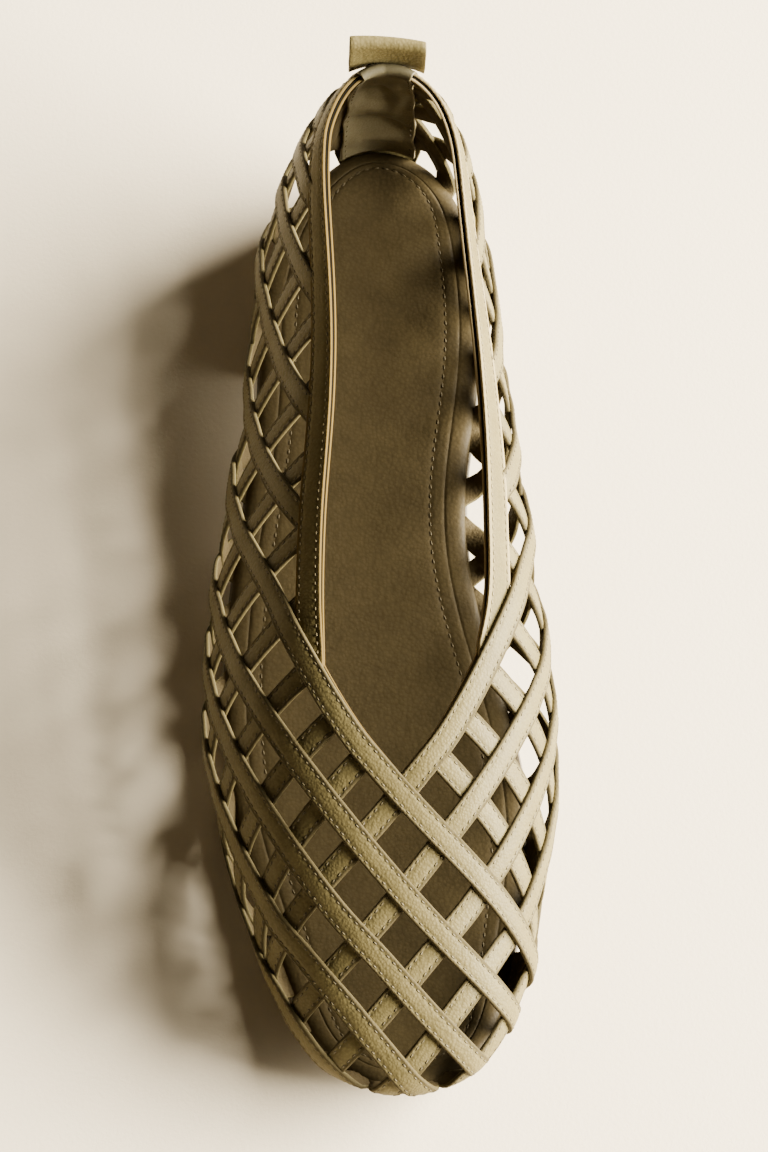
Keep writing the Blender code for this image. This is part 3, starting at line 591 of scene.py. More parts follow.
@dataclass
class Path:
    """A line on the last with its normals and the height at which a strip lies over it."""

    points: Array
    normals: Array
    height: Array
    shear_fade: float = 1.8

    def across(self) -> Array:
        """Directions to the left of the line, in the surface."""
        tangent = unit(np.gradient(self.points, axis=0))
        return unit(np.cross(self.normals, tangent))

    def marks(self) -> Array:
        """Distance of every point from the start."""
        return marks_along(self.points)

    def swept(self, section: Section, shear: Pair = (0.0, 0.0)) -> MeshData:
        """Strip with the section along the line.

        Args:
            section: closed cross section.
            shear: how far the left edge ends short of the right edge, at the start and at the end.

        Returns:
            A closed mesh with flat ends.
        """
        grid = self.grid(section)
        if any(shear):
            grid = self.sheared(grid, section, shear)
        return self.skin(grid, section)

    def grid(self, section: Section) -> Array:
        """Corners of the section at every point of the line."""
        over = self.height[:, None] + section.over[None, :]
        return (self.points[:, None, :] - self.across()[:, None, :] * section.across[None, :, None]
                + self.normals[:, None, :] * over[:, :, None])

    @staticmethod
    def skin(grid: Array, section: Section) -> MeshData:
        """Closed mesh over the corners of a strip."""
        rows, ring = grid.shape[:2]
        faces = bands(rows, ring)
        faces.append(list(range(ring)))
        faces.append([(rows - 1) * ring + k for k in reversed(range(ring))])
        return MeshData(grid.reshape(-1, 3), faces, np.tile(section.tone, rows))

    def sheared(self, grid: Array, section: Section, shear: Pair) -> Array:
        """Grid of a strip with slanted ends."""
        marks = self.marks()
        span = self.shear_fade * max(np.abs(shear))
        width = np.ptp(section.across)
        result = grid.copy()
        for k, place in enumerate(section.across):
            share = (section.across.max() - place) / width
            moved = marks + shear[0] * share * np.clip(1.0 - marks / span, 0.0, 1.0)
            moved = moved - shear[1] * share * np.clip(1.0 - (marks[-1] - marks) / span, 0.0, 1.0)
            for axis in range(3):
                result[:, k, axis] = np.interp(moved, marks, grid[:, k, axis])
        return result

    def row(self, offset: float, over: float, trim: float) -> tuple[Array, Array]:
        """Line beside the path for a row of stitches.

        Args:
            offset: distance to the right of the line.
            over: height over the strip's underside.
            trim: length left free at both ends.

        Returns:
            Points and their upward directions.
        """
        marks = self.marks()
        keep = (marks >= trim) & (marks <= marks[-1] - trim)
        points = self.points - self.across() * offset + self.normals * (self.height + over)[:, None]
        return points[keep], self.normals[keep]


class Family(Enum):
    """The two directions in which the tapes cross the foot."""

    A = -1
    B = 1


class Kind(Enum):
    """How a tape runs: over the vamp, up a side on top, or up a side underneath."""

    VAMP = "vamp"
    OVER = "over"
    UNDER = "under"


@dataclass
class Tape:
    """One tape of the lattice, with its line in the pattern and its path on the last."""

    family: Family
    kind: Kind
    number: int
    spots: Array
    path: Path | None = None


@dataclass
class Opening:
    """Collar and throat in the pattern. Rows of the collar: place, reach outside, reach inside."""

    collar: Rows = ((8.66, 26.0, 26.0), (-5.0, 23.2, 25.3), (-13.5, 21.4, 24.8), (-29.0, 20.2, 24.5),
                    (-48.0, 17.6, 23.5), (-73.0, 14.6, 22.5), (-97.0, 14.6, 22.2), (-121.0, 16.4, 21.8),
                    (-141.0, 16.9, 20.4), (-151.0, 16.7, 18.0))
    front_run: float = 10.0
    step: float = 1.2

    def reach(self, side: int, place: Array) -> Array:
        """Distance of the collar edge from the ridge on one side, run on level past its front end."""
        table = np.array(self.collar)
        column = 1 if side < 0 else 2
        curve = natural_curve(-table[:, 0], table[:, column])
        return curve(np.minimum(-place, -table[-1, 0]))

    def edge(self, side: Array, place: Array) -> Array:
        """Distance of the collar edge from the ridge at places on either side."""
        return np.where(side < 0, self.reach(-1, place), self.reach(1, place))

    def line(self, back: float, offset: float, front_run: float) -> Array:
        """Pattern points round the whole collar, from the outer throat over the back to the inner throat.

        Args:
            back: place of the back seam in the pattern.
            offset: distance outwards from the collar edge.
            front_run: length past the front ends of the collar.

        Returns:
            Pattern points; the back seam is met by both sides at the same spot of the last.
        """
        front = self.collar[-1][0] - front_run
        count = int((back - front) / self.step)
        place = np.linspace(front, back, count)
        outer = np.stack([-(self.reach(-1, place) + offset), place], 1)
        inner = np.stack([self.reach(1, place) + offset, place], 1)
        return np.concatenate([outer, inner[::-1][1:]])


@dataclass
class Lattice:
    """Tapes of the upper: their lines, layers and stitches."""

    pattern: Pattern
    opening: Opening
    width: float = 5.5
    thick: float = 1.05
    stitch_inset: float = 0.95
    slope: float = 1.08
    bend: float = 0.38
    bend_reach: float = 22.0
    vamp: tuple[float, ...] = (-183.0, -203.0, -223.5, -243.5, -266.0)
    throat_bend: float = 11.0
    throat_start: float = 8.0
    throat_span: float = 28.0
    run: float = 92.0
    over: tuple[float, ...] = (-146.0, -117.5, -89.5, -71.0, -52.5)
    over_start: float = 10.0
    under_reach: float = 31.0
    under_first: float = -196.5
    under_pitch: float = 17.3
    under_count: int = 14
    under_slope: float = 0.45
    under_front_slope: float = 0.48
    under_fade: float = 2.5
    under_heel_slope: float = 0.5
    under_heel_first: int = 7
    under_heel_run: float = 5.0
    under_start: float = 8.0
    overrun: float = 1.5
    collar_lap: float = 3.3
    wrap_run: float = 3.0
    hug_start: float = 8.0
    hug_run: float = 6.0
    stitch_past: float = 1.5
    stay_reach: float = 8.5
    stay_run: float = 6.0
    feather_run: float = 7.0
    feather_past: float = 1.0
    lap_start: float = 2.0
    lap_run: float = 6.0
    carry_share: float = 0.72
    drape: float = 2.2
    line_count: int = 369
    own_count: int = 165
    far_count: int = 169
    throat_reach: float = 24.0
    throat_count: int = 49
    least_points: int = 8
    band_margin: float = 1.0
    stitch_sink: float = 0.05
    stitch_trim: float = 0.6
    step: float = 1.25
    base: float = -0.15
    sag: float = 0.11
    lining_reach: Pair = (-21.0, 2.2)
    lining_width: float = 5.7
    lining_thick: float = 0.7
    lining_height: float = -0.32
    lining_count: int = 30
    tapes: list[Tape] = field(default_factory=list)

    def crossing(self, x: Array) -> Array:
        """Run of a tape along the foot: back on its own side and forward on the other."""
        return -self.slope * x + self.bend * self.bend_reach * np.log(np.cosh(x / self.bend_reach))

    def throat_line(self, x: Array) -> Array:
        """Place of the tape that edges the throat."""
        swing = smooth_step((-x - self.throat_start) / self.throat_span)
        return self.vamp[0] + self.crossing(x) + self.throat_bend * swing

    def lines(self) -> list[Tape]:
        """Untrimmed lines of all tapes."""
        found = []
        wide = np.linspace(-self.run, self.run, self.line_count)
        own = np.linspace(-self.run, -self.over_start, self.own_count)
        far = np.linspace(self.under_start, self.run, self.far_count)
        for family in Family:
            hand = family.value
            for i, start in enumerate(self.vamp):
                place = self.throat_line(wide) if i == 0 else start + self.crossing(wide)
                found.append(Tape(family, Kind.VAMP, i, np.stack([-hand * wide, place], 1)))
            for i, start in enumerate(self.over):
                place = start + self.crossing(own)
                found.append(Tape(family, Kind.OVER, i, np.stack([-hand * own, place], 1)))
            for i in range(self.under_count):
                slope = self.under_slope + self.under_front_slope * math.exp(-i / self.under_fade)
                if family is Family.A:
                    near = (i - self.under_heel_first) / self.under_heel_run
                    slope += self.under_heel_slope * smooth_step(near)
                place = self.under_first + i * self.under_pitch - slope * (far - self.under_reach)
                found.append(Tape(family, Kind.UNDER, i, np.stack([-hand * far, place], 1)))
        return found

    def trimmed(self, tape: Tape) -> Array | None:
        """The run of a tape that lies on the wall, or None where it misses the wall.

        Args:
            tape: tape with its whole line.

        Returns:
            Pattern points at an even step, from collar or feather edge to feather edge.
        """
        spots = tape.spots
        side, place, reach = self.pattern.split(spots)
        limit = self.pattern.limit(side, place)
        front = self.opening.collar[-1][0]
        inner = self.opening.edge(side, place)
        edge = np.linspace(-self.throat_reach, 0.0, self.throat_count)
        ahead = np.interp(-place, -self.throat_line(edge), -edge) - self.overrun
        inner = np.where(place < front, ahead, inner)
        good = (reach < limit + self.wrap_run) & (spots[:, 1] < self.pattern.back - 2.0 * self.overrun)
        if tape.kind is not Kind.VAMP:
            good &= reach > inner + self.collar_lap
        index = np.nonzero(good)[0]
        if len(index) < self.least_points:
            return None
        kept = spots[index[0]:index[-1] + 1]
        return evenly(kept, int(marks_along(kept)[-1] / self.step) + 1)

    def lay(self, extra: Path) -> None:
        """Lays the tapes over each other from the lowest layer up.

        Args:
            extra: middle line of the collar band, which the two throat tapes cross.
        """
        order = {
            (Kind.UNDER, Family.A): 0, (Kind.UNDER, Family.B): 0,
            (Kind.VAMP, Family.B): 1, (Kind.OVER, Family.A): 2, (Kind.OVER, Family.B): 2,
            (Kind.VAMP, Family.A): 4,
        }

        def layer(tape: Tape) -> int:
            """Layer of a tape; the inner throat tape lies over the collar band."""
            if tape.kind is Kind.VAMP and tape.family is Family.B and tape.number == 0:
                return 3
            return order[(tape.kind, tape.family)]

        for tape in sorted(self.lines(), key=layer):
            spots = self.trimmed(tape)
            if spots is None:
                continue
            points, normals = self.pattern.lay(spots)
            path = Path(points, blur(normals, NORMAL_BLUR), np.zeros(len(points)))
            below = [t.path for t in self.tapes if t.family is not tape.family]
            support = self.support(path, below, self.width)
            if tape.kind is Kind.VAMP and tape.number == 0:
                support = np.maximum(support, self.support(path, [extra], self.width + self.band_margin))
            path.height = self.settled(path, spots, tape, support)
            tape.spots = spots
            tape.path = path
            self.tapes.append(tape)

    def support(self, path: Path, below: list[Path], width: float) -> Array:
        """Height of the tops of the strips under a path.

        Args:
            path: line that is laid.
            below: strips that are laid already.
            width: width within which a strip carries the line.

        Returns:
            Height at every point, the base level where nothing lies under it.
        """
        result = np.full(len(path.points), self.base)
        for other in below:
            gap = np.linalg.norm(path.points[:, None, :] - other.points[None, :, :], axis=2)
            near = gap.argmin(axis=1)
            close = gap[np.arange(len(near)), near] < width * self.carry_share
            top = other.height[near] + self.thick
            result = np.where(close, np.maximum(result, top), result)
        return result

    def settled(self, path: Path, spots: Array, tape: Tape, support: Array) -> Array:
        """Height of a taut tape over its supports, let down to the wall at its ends.

        Args:
            path: line that is laid.
            spots: its pattern points.
            tape: the tape.
            support: height of what lies under it.

        Returns:
            Height of the tape's underside at every point.
        """
        marks = path.marks()
        gap = np.abs(marks[:, None] - marks[None, :])
        height = np.maximum((support[None, :] - self.sag * gap).max(axis=1), self.base)
        height = blur(height, self.drape)
        side, place, reach = self.pattern.split(spots)
        to_feather = self.pattern.limit(side, place) - self.pattern.wrap_rise - reach
        low = smooth_step((to_feather + self.feather_past) / self.feather_run)
        if tape.kind is not Kind.VAMP:
            start_inside = reach[0] < reach[-1]
            from_collar = marks if start_inside else marks[-1] - marks
            low = low * smooth_step((from_collar - self.lap_start) / self.lap_run)
        low = low * smooth_step((self.pattern.back - spots[:, 1] - self.stay_reach) / self.stay_run)
        return self.base + (height - self.base) * low

    def mesh(self, kind: Kind, family: Family | None) -> MeshData:
        """Mesh of all tapes of one kind.

        Args:
            kind: kind of tape.
            family: one family, or None for both.

        Returns:
            The joined strips.
        """
        section = Section.tape(self.width, self.thick, self.stitch_inset)
        chosen = self.chosen(kind, family)
        return MeshData.joined([Path.skin(self.hugged(tape, section)[0], section) for tape in chosen])

    def hugged(self, tape: Tape, section: Section) -> tuple[Array, Array, Array]:
        """Corners of a tape that lies flat on the wall and hugs it towards the feather edge.

        Args:
            tape: laid tape.
            section: its cross section.

        Returns:
            Corners, outward directions and distances short of the wrap, one row for each point.
        """
        path = tape.path
        steps = -self.pattern.sideways(tape.spots)
        spots = (tape.spots[:, None, :] + steps[:, None, :] * section.across[None, :, None]).reshape(-1, 2)
        points, normals = self.pattern.lay(spots)
        spare = self.pattern.held(spots)[1]
        shape = (len(path.points), len(section.across), 3)
        over = (path.height[:, None] + section.over[None, :])[:, :, None]
        close = points.reshape(shape) + normals.reshape(shape) * over
        share = 1.0 - smooth_step((spare.reshape(shape[:2]) - self.hug_start + self.hug_run) / self.hug_run)
        share = share[:, :, None]
        upward = unit(path.normals[:, None, :] * (1.0 - share) + normals.reshape(shape) * share)
        return path.grid(section) * (1.0 - share) + close * share, upward, spare.reshape(shape[:2])

    def throat_lining(self) -> MeshData:
        """Lining strips under the two tapes that edge the throat, their cut edges at the opening."""
        x = np.linspace(*self.lining_reach, self.lining_count)
        strips = []
        for family in Family:
            hand = family.value
            spots = np.stack([-hand * x, self.throat_line(x)], 1)
            points, normals = self.pattern.lay(spots)
            path = Path(points, blur(normals, NORMAL_BLUR), np.full(len(points), self.lining_height))
            section = Section.cut_band(self.lining_width, self.lining_thick, self.stitch_inset)
            strips.append(path.swept(Section(-hand * section.across, section.over, section.tone)))
        return MeshData.joined(strips)

    def chosen(self, kind: Kind, family: Family | None) -> list[Tape]:
        """Tapes of one kind, of one family or both."""
        return [t for t in self.tapes if t.kind is kind and family in (None, t.family)]

    def stitch_rows(self, kind: Kind, family: Family | None) -> Lines:
        """Stitch lines of all tapes of one kind, two on each tape."""
        rows = []
        offset = self.width / 2.0 - self.stitch_inset
        flat = np.zeros(2)
        lines = Section(np.array([-offset, offset]), flat + self.thick - self.stitch_sink, flat)
        for tape in self.chosen(kind, family):
            points, upward, spare = self.hugged(tape, lines)
            marks = tape.path.marks()
            ends = np.minimum(marks, marks[-1] - marks) >= self.stitch_trim
            for k in (0, 1):
                seen = np.nonzero(ends & (spare[:, k] > -self.stitch_past))[0]
                if len(seen) > 2:
                    run = slice(seen[0], seen[-1] + 1)
                    rows.append((points[run, k], upward[run, k]))
        return rows


@dataclass
class Nodes:
    """Lays out the nodes of one tree."""

    tree: bpy.types.NodeTree

    def add(self, kind: str, output: str | int, feeds: dict[str | int, object],
            **settings: object) -> Socket:
        """Adds a node.

        Args:
            kind: kind of the node.
            output: the output that is wanted.
            feeds: what goes into its inputs, a plain value or another node's output.
            settings: options of the node.

        Returns:
            The wanted output.
        """
        node = self.tree.nodes.new(kind)
        for name, value in settings.items():
            setattr(node, name, value)
        for name, value in feeds.items():
            self.feed(node.inputs[name], value)
        return node.outputs[output]

    def feed(self, target: Socket, value: object) -> None:
        """Links another node's output to an input, or sets the input to a plain value."""
        if isinstance(value, Socket):
            self.tree.links.new(value, target)
        elif target.type == "RGBA":
            target.default_value = (*value, 1.0)
        else:
            target.default_value = value


class Sketch(Nodes):
    """The nodes of one material."""

    def __init__(self, name: str) -> None:
        """Starts a material with a plain Principled shader."""
        self.material = bpy.data.materials.new(name)
        self.material.use_nodes = True
        super().__init__(self.material.node_tree)
        self.shader = self.tree.nodes["Principled BSDF"]

    def set(self, name: str, value: Socket | float) -> None:
        """Feeds a socket of the shader."""
        self.feed(self.shader.inputs[name], value)

    def millimetres(self) -> Socket:
        """Object coordinates in millimetres."""
        place = self.add("ShaderNodeTexCoord", "Object", {})
        return self.add("ShaderNodeMapping", "Vector", {"Vector": place, "Scale": (1.0 / MM,) * 3})

    def tone(self) -> Socket:
        """Tone of each corner, 1 at a bare or folded edge and -1 on the back of the leather and where shade
        is painted on an edge or fold.
        """
        return self.add("ShaderNodeAttribute", "Fac", {}, attribute_name="tone")

    def noise(self, place: Socket, scale: float, detail: float, rough: float) -> Socket:
        """Noise from 0 to 1 over a place, with so many features for each millimetre."""
        return self.add("ShaderNodeTexNoise", "Fac",
                        {"Scale": scale, "Detail": detail, "Roughness": rough, "Vector": place})

    def cells(self, place: Socket, scale: float) -> Socket:
        """Distance from the middles of scattered cells, for pebbled grain."""
        return self.add("ShaderNodeTexVoronoi", "Distance",
                        {"Scale": scale, "Smoothness": CELL_SMOOTHNESS, "Vector": place}, feature="SMOOTH_F1")

    def ramp(self, value: Socket, low: float, high: float) -> Socket:
        """Value stretched so that low gives 0 and high gives 1."""
        return self.spread(value, 0.0, 1.0, low, high)

    def spread(self, value: Socket, to_low: float, to_high: float, low: float = 0.3,
               high: float = 0.7) -> Socket:
        """Value mapped from one range to another and held inside it."""
        return self.add("ShaderNodeMapRange", "Result",
                        {"From Min": low, "From Max": high, "To Min": to_low, "To Max": to_high,
                         "Value": value})

    def mix(self, share: Socket, first: Socket | Triple, second: Socket | Triple) -> Socket:
        """Mix of two colours by a share."""
        return self.add("ShaderNodeMix", 2, {"Factor": share, 6: first, 7: second}, data_type="RGBA")

    def multiply(self, first: Socket, second: Socket) -> Socket:
        """Product of two colours."""
        return self.add("ShaderNodeMix", 2, {"Factor": 1.0, 6: first, 7: second}, data_type="RGBA",
                        blend_type="MULTIPLY")

    def sum(self, first: Socket, second: Socket, share: float) -> Socket:
        """First value plus a share of the second."""
        return self.add("ShaderNodeMath", "Value", {0: second, 1: share, 2: first},
                        operation="MULTIPLY_ADD")

    def bump(self, height: Socket, depth: float, under: Socket | None = None,
             invert: bool = False) -> Socket:
        """Relief from a height.

        Args:
            height: value from 0 to 1.
            depth: depth of the relief in millimetres.
            under: normal of a relief below this one, or None.
            invert: True where high values are pits.

        Returns:
            The normal.
        """
        feeds = {"Strength": 1.0, "Distance": depth * MM, "Height": height}
        if under is not None:
            feeds["Normal"] = under
        return self.add("ShaderNodeBump", "Normal", feeds, invert=invert)

    def colour_by_tone(self, colour: Socket, edge: Triple, flesh_and_shade: Triple) -> tuple[Socket, Socket, Socket]:
        """Colour that turns to that of an edge and to a dark second colour by the tone of each corner; the
        dark colour stands for the back of the leather and for painted shade.

        Args:
            colour: colour of the face.
            edge: colour at a bare or folded edge.
            flesh_and_shade: colour on the back of the leather, and painted shade where a tone is pushed below
                zero.

        Returns:
            The colour, the tone and the share of the dark second colour.
        """
        tone = self.tone()
        flesh_and_shade_share = self.ramp(tone, *FLESH_AND_SHADE_RANGE)
        colour = self.mix(tone, colour, edge)
        return self.mix(flesh_and_shade_share, colour, flesh_and_shade), tone, flesh_and_shade_share


@dataclass(frozen=True)
class Finish:
    """Two shades of one colour."""

    name: str
    colour: Triple
    deep: Triple


@dataclass(frozen=True)
class Leather(Finish):
    """Grained leather: colours, gloss and the size and depth of its grain in millimetres.

    Rates are features for each millimetre or grain; grits are detail and roughness of a noise.
    """

    edge: Triple
    flesh_and_shade: Triple = (0.050, 0.036, 0.015)
    pit_shade: Triple = (0.80, 0.79, 0.76)
    roughness: float = 0.52
    edge_roughness: float = 0.30
    specular: float = 0.12
    grain: float = 0.62
    depth: float = 0.085
    wrinkle: float = 0.09
    mottle: float = 9.0
    mottle_grit: Pair = (4.0, 0.55)
    mottle_range: Pair = (0.30, 0.72)
    pit_range: Pair = (0.05, 0.75)
    fine_rate: float = 2.4
    fine_grit: Pair = (3.0, 0.6)
    fine_share: float = 0.35
    warp_rate: float = 0.35
    warp_grit: Pair = (2.0, 0.5)
    gloss_range: Pair = (0.07, 0.09)

    def make(self) -> Material:
        """Builds the material, which reads Object coordinates and the tone of each corner."""
        sketch = Sketch(self.name)
        place = sketch.millimetres()
        mottle = sketch.noise(place, 1.0 / self.mottle, *self.mottle_grit)
        fine = sketch.noise(place, self.fine_rate / self.grain, *self.fine_grit)
        cells = sketch.cells(place, 1.0 / self.grain)
        warp = sketch.noise(place, self.warp_rate, *self.warp_grit)
        colour = sketch.mix(sketch.ramp(mottle, *self.mottle_range), self.deep, self.colour)
        shade = sketch.mix(sketch.ramp(cells, *self.pit_range), (1.0, 1.0, 1.0), self.pit_shade)
        colour = sketch.multiply(colour, shade)
        colour, tone, flesh_and_shade_share = sketch.colour_by_tone(colour, self.edge, self.flesh_and_shade)
        sketch.set("Base Color", colour)
        cut = sketch.sum(sketch.ramp(tone, 0.0, 1.0), flesh_and_shade_share, 1.0)
        less, more = self.gloss_range
        gloss = sketch.spread(fine, self.roughness - less, self.roughness + more)
        sketch.set("Roughness", sketch.sum(gloss, cut, self.edge_roughness))
        sketch.set("Specular IOR Level", self.specular)
        relief = sketch.sum(cells, fine, self.fine_share)
        grain = sketch.bump(relief, self.depth, invert=True)
        sketch.set("Normal", sketch.bump(warp, self.wrinkle, grain))
        return sketch.material


@dataclass(frozen=True)
class Suede(Finish):
    """Napped lining leather with next to no gloss: colours and the size of its nap in millimetres."""

    edge: Triple
    flesh_and_shade: Triple = (0.066, 0.043, 0.012)
    nap: float = 0.28
    nap_grit: Pair = (3.0, 0.65)
    cloud_rate: float = 0.16
    cloud_grit: Pair = (4.0, 0.6)
    cloud_range: Pair = (0.30, 0.70)
    gloss_range: Pair = (0.82, 0.96)
    depth: float = 0.05
    specular: float = 0.05

    def make(self) -> Material:
        """Builds the material."""
        sketch = Sketch(self.name)
        place = sketch.millimetres()
        cloud = sketch.noise(place, self.cloud_rate, *self.cloud_grit)
        nap = sketch.noise(place, 1.0 / self.nap, *self.nap_grit)
        colour = sketch.mix(sketch.ramp(cloud, *self.cloud_range), self.deep, self.colour)
        sketch.set("Base Color", sketch.colour_by_tone(colour, self.edge, self.flesh_and_shade)[0])
        sketch.set("Roughness", sketch.spread(nap, *self.gloss_range))
        sketch.set("Specular IOR Level", self.specular)
        sketch.set("Normal", sketch.bump(nap, self.depth))
        return sketch.material


@dataclass(frozen=True)
class Fibre(Finish):
    """Fibre of one size in millimetres, in colour and relief: sewing thread and paper."""

    size: float = 0.32
    detail: float = 2.0
    share: float = 0.5
    contrast: Pair = (0.35, 0.65)
    roughness: float = 0.6
    specular: float = 0.15
    depth: float = 0.05

    def make(self) -> Material:
        """Builds the material."""
        sketch = Sketch(self.name)
        strand = sketch.noise(sketch.millimetres(), 1.0 / self.size, self.detail, self.share)
        sketch.set("Base Color", sketch.mix(sketch.ramp(strand, *self.contrast), self.deep, self.colour))
        sketch.set("Roughness", self.roughness)
        sketch.set("Specular IOR Level", self.specular)
        sketch.set("Normal", sketch.bump(strand, self.depth))
        return sketch.material


@dataclass(frozen=True)
class Rubber(Finish):
    """Matt sole rubber with a faint moulded grain."""

    roughness: float = 0.68
    spread: float = 0.08
    depth: float = 0.03
    cloud_rate: float = 0.09
    cloud_grit: Pair = (5.0, 0.6)
    cloud_range: Pair = (0.3, 0.7)
    grain_rate: float = 3.2
    grain_grit: Pair = (3.0, 0.6)

    def make(self) -> Material:
        """Builds the material."""
        sketch = Sketch(self.name)
        place = sketch.millimetres()
        cloud = sketch.noise(place, self.cloud_rate, *self.cloud_grit)
        grain = sketch.noise(place, self.grain_rate, *self.grain_grit)
        sketch.set("Base Color", sketch.mix(sketch.ramp(cloud, *self.cloud_range), self.deep, self.colour))
        low = self.roughness - self.spread
        sketch.set("Roughness", sketch.spread(grain, low, self.roughness + self.spread))
        sketch.set("Normal", sketch.bump(grain, self.depth))
        return sketch.material


@dataclass
class StitchTree:
    """Geometry Nodes tree that sews stitches along every line of a mesh."""

    name: str = "stitch_row"
    segments: int = 6
    rings: int = 4
    radius: float = 0.5

    def build(self) -> bpy.types.NodeTree:
        """Builds the tree with named inputs.

        Returns:
            A tree that resamples lines, sets a stitch on each point and realizes them.
        """
        tree = bpy.data.node_groups.new(self.name, "GeometryNodeTree")
        sockets = (("Geometry", "NodeSocketGeometry"), ("Pitch", "NodeSocketFloat"),
                   ("Stitch Size", "NodeSocketVector"), ("Shift", "NodeSocketVector"),
                   ("Lean", "NodeSocketFloat"), ("Jitter", "NodeSocketFloat"),
                   ("Seed", "NodeSocketInt"), ("Finish", "NodeSocketMaterial"))
        for label, kind in sockets:
            tree.interface.new_socket(label, in_out="INPUT", socket_type=kind)
        tree.interface.new_socket("Geometry", in_out="OUTPUT", socket_type="NodeSocketGeometry")
        nodes = Nodes(tree)
        add = nodes.add
        source = tree.nodes.new("NodeGroupInput").outputs
        line = add("GeometryNodeMeshToCurve", "Curve", {"Mesh": source["Geometry"]})
        even = add("GeometryNodeResampleCurve", "Curve", {"Curve": line, "Length": source["Pitch"]},
                   mode="LENGTH")
        tangent = add("GeometryNodeInputTangent", "Tangent", {})
        up = add("GeometryNodeInputNamedAttribute", "Attribute", {"Name": "up"}, data_type="FLOAT_VECTOR")
        axes = add("FunctionNodeAxesToRotation", "Rotation",
                   {"Primary Axis": up, "Secondary Axis": tangent}, primary_axis="Z", secondary_axis="X")
        lean = {0: source["Lean"], 1: source["Jitter"]}
        low = add("ShaderNodeMath", 0, lean, operation="SUBTRACT")
        high = add("ShaderNodeMath", 0, lean, operation="ADD")
        chance = add("FunctionNodeRandomValue", 1, {2: low, 3: high, "Seed": source["Seed"]},
                     data_type="FLOAT")
        slant = add("ShaderNodeCombineXYZ", "Vector", {"Z": chance})
        turn = add("FunctionNodeEulerToRotation", "Rotation", {"Euler": slant})
        turned = add("FunctionNodeRotateRotation", "Rotation", {"Rotation": axes, "Rotate By": turn},
                     rotation_space="LOCAL")
        stitch = add("GeometryNodeMeshUVSphere", "Mesh",
                     {"Segments": self.segments, "Rings": self.rings, "Radius": self.radius})
        sewn = add("GeometryNodeInstanceOnPoints", "Instances",
                   {"Points": even, "Instance": stitch, "Rotation": turned, "Scale": source["Stitch Size"]})
        moved = add("GeometryNodeTranslateInstances", "Instances",
                    {"Instances": sewn, "Translation": source["Shift"]})
        smooth = add("GeometryNodeSetShadeSmooth", "Geometry", {"Geometry": moved})
        real = add("GeometryNodeRealizeInstances", "Geometry", {"Geometry": smooth})
        finish = add("GeometryNodeSetMaterial", "Geometry", {"Geometry": real, "Material": source["Finish"]})
        nodes.feed(tree.nodes.new("NodeGroupOutput").inputs["Geometry"], finish)
        return tree


@dataclass
class Workshop:
    """Turns meshes in millimetres of the last into dressed pieces of the part."""

    placement: Placement
    tree: bpy.types.NodeTree

    def piece(self, name: str, data: MeshData, finish: Material, node: str, slot: str) -> bpy.types.Object:
        """Adds a piece.

        Args:
            name: name of the piece.
            data: its mesh.
            finish: its material.
            node: node of the part that it stands for.
            slot: material slot of the record; not used.

        Returns:
            The object, at the origin.
        """
        mesh = bpy.data.meshes.new(name)
        mesh.from_pydata(self.placement.to_part(data.vertices).tolist(), [], data.faces)
        tone = mesh.attributes.new("tone", "FLOAT", "POINT")
        tone.data.foreach_set("value", data.tone.astype(np.float32))
        work = bmesh.new()
        work.from_mesh(mesh)
        bmesh.ops.recalc_face_normals(work, faces=work.faces[:])
        work.to_mesh(mesh)
        work.free()
        mesh.polygons.foreach_set("use_smooth", [True] * len(mesh.polygons))
        mesh.materials.append(finish)
        return self.fitted(name, mesh, node)

    def fitted(self, name: str, mesh: bpy.types.Mesh, node: str) -> bpy.types.Object:
        """Links a mesh as a piece that rides on the shoe's body."""
        item = bpy.data.objects.new(name, mesh)
        bpy.context.scene.collection.objects.link(item)
        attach(item, BODY)
        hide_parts(node)
        LOG.info("%s: %d faces", name, len(mesh.polygons))
        return item

    def sewn(self, name: str, rows: Lines, inputs: dict[str, object],
             node: str, slot: str) -> bpy.types.Object:
        """Adds a piece of stitches along lines.

        Args:
            name: name of the piece.
            rows: points and upward directions of every line, in millimetres.
            inputs: values of the tree's inputs by name.
            node: node of the part that it stands for.
            slot: material slot of the record; not used.

        Returns:
            The object with plain realized stitches.
        """
        points = []
        ups = []
        edges = []
        for line, up in rows:
            start = len(points)
            points.extend(self.placement.to_part(line).tolist())
            ups.extend(up.tolist())
            edges.extend([(start + i, start + i + 1) for i in range(len(line) - 1)])
        guide = bpy.data.meshes.new(name + "_guide")
        guide.from_pydata(points, edges, [])
        attribute = guide.attributes.new("up", "FLOAT_VECTOR", "POINT")
        attribute.data.foreach_set("vector", np.array(ups, np.float32).ravel())
        holder = bpy.data.objects.new(name + "_guide", guide)
        bpy.context.scene.collection.objects.link(holder)
        modifier = holder.modifiers.new("stitches", "NODES")
        modifier.node_group = self.tree
        sockets = {item.name: item.identifier for item in self.tree.interface.items_tree
                   if item.in_out == "INPUT"}
        for label, value in inputs.items():
            modifier[sockets[label]] = value
        depsgraph = bpy.context.evaluated_depsgraph_get()
        mesh = bpy.data.meshes.new_from_object(holder.evaluated_get(depsgraph), depsgraph=depsgraph)
        mesh.name = name
        holder.modifiers.remove(modifier)
        bpy.data.objects.remove(holder, do_unlink=True)
        return self.fitted(name, mesh, node)


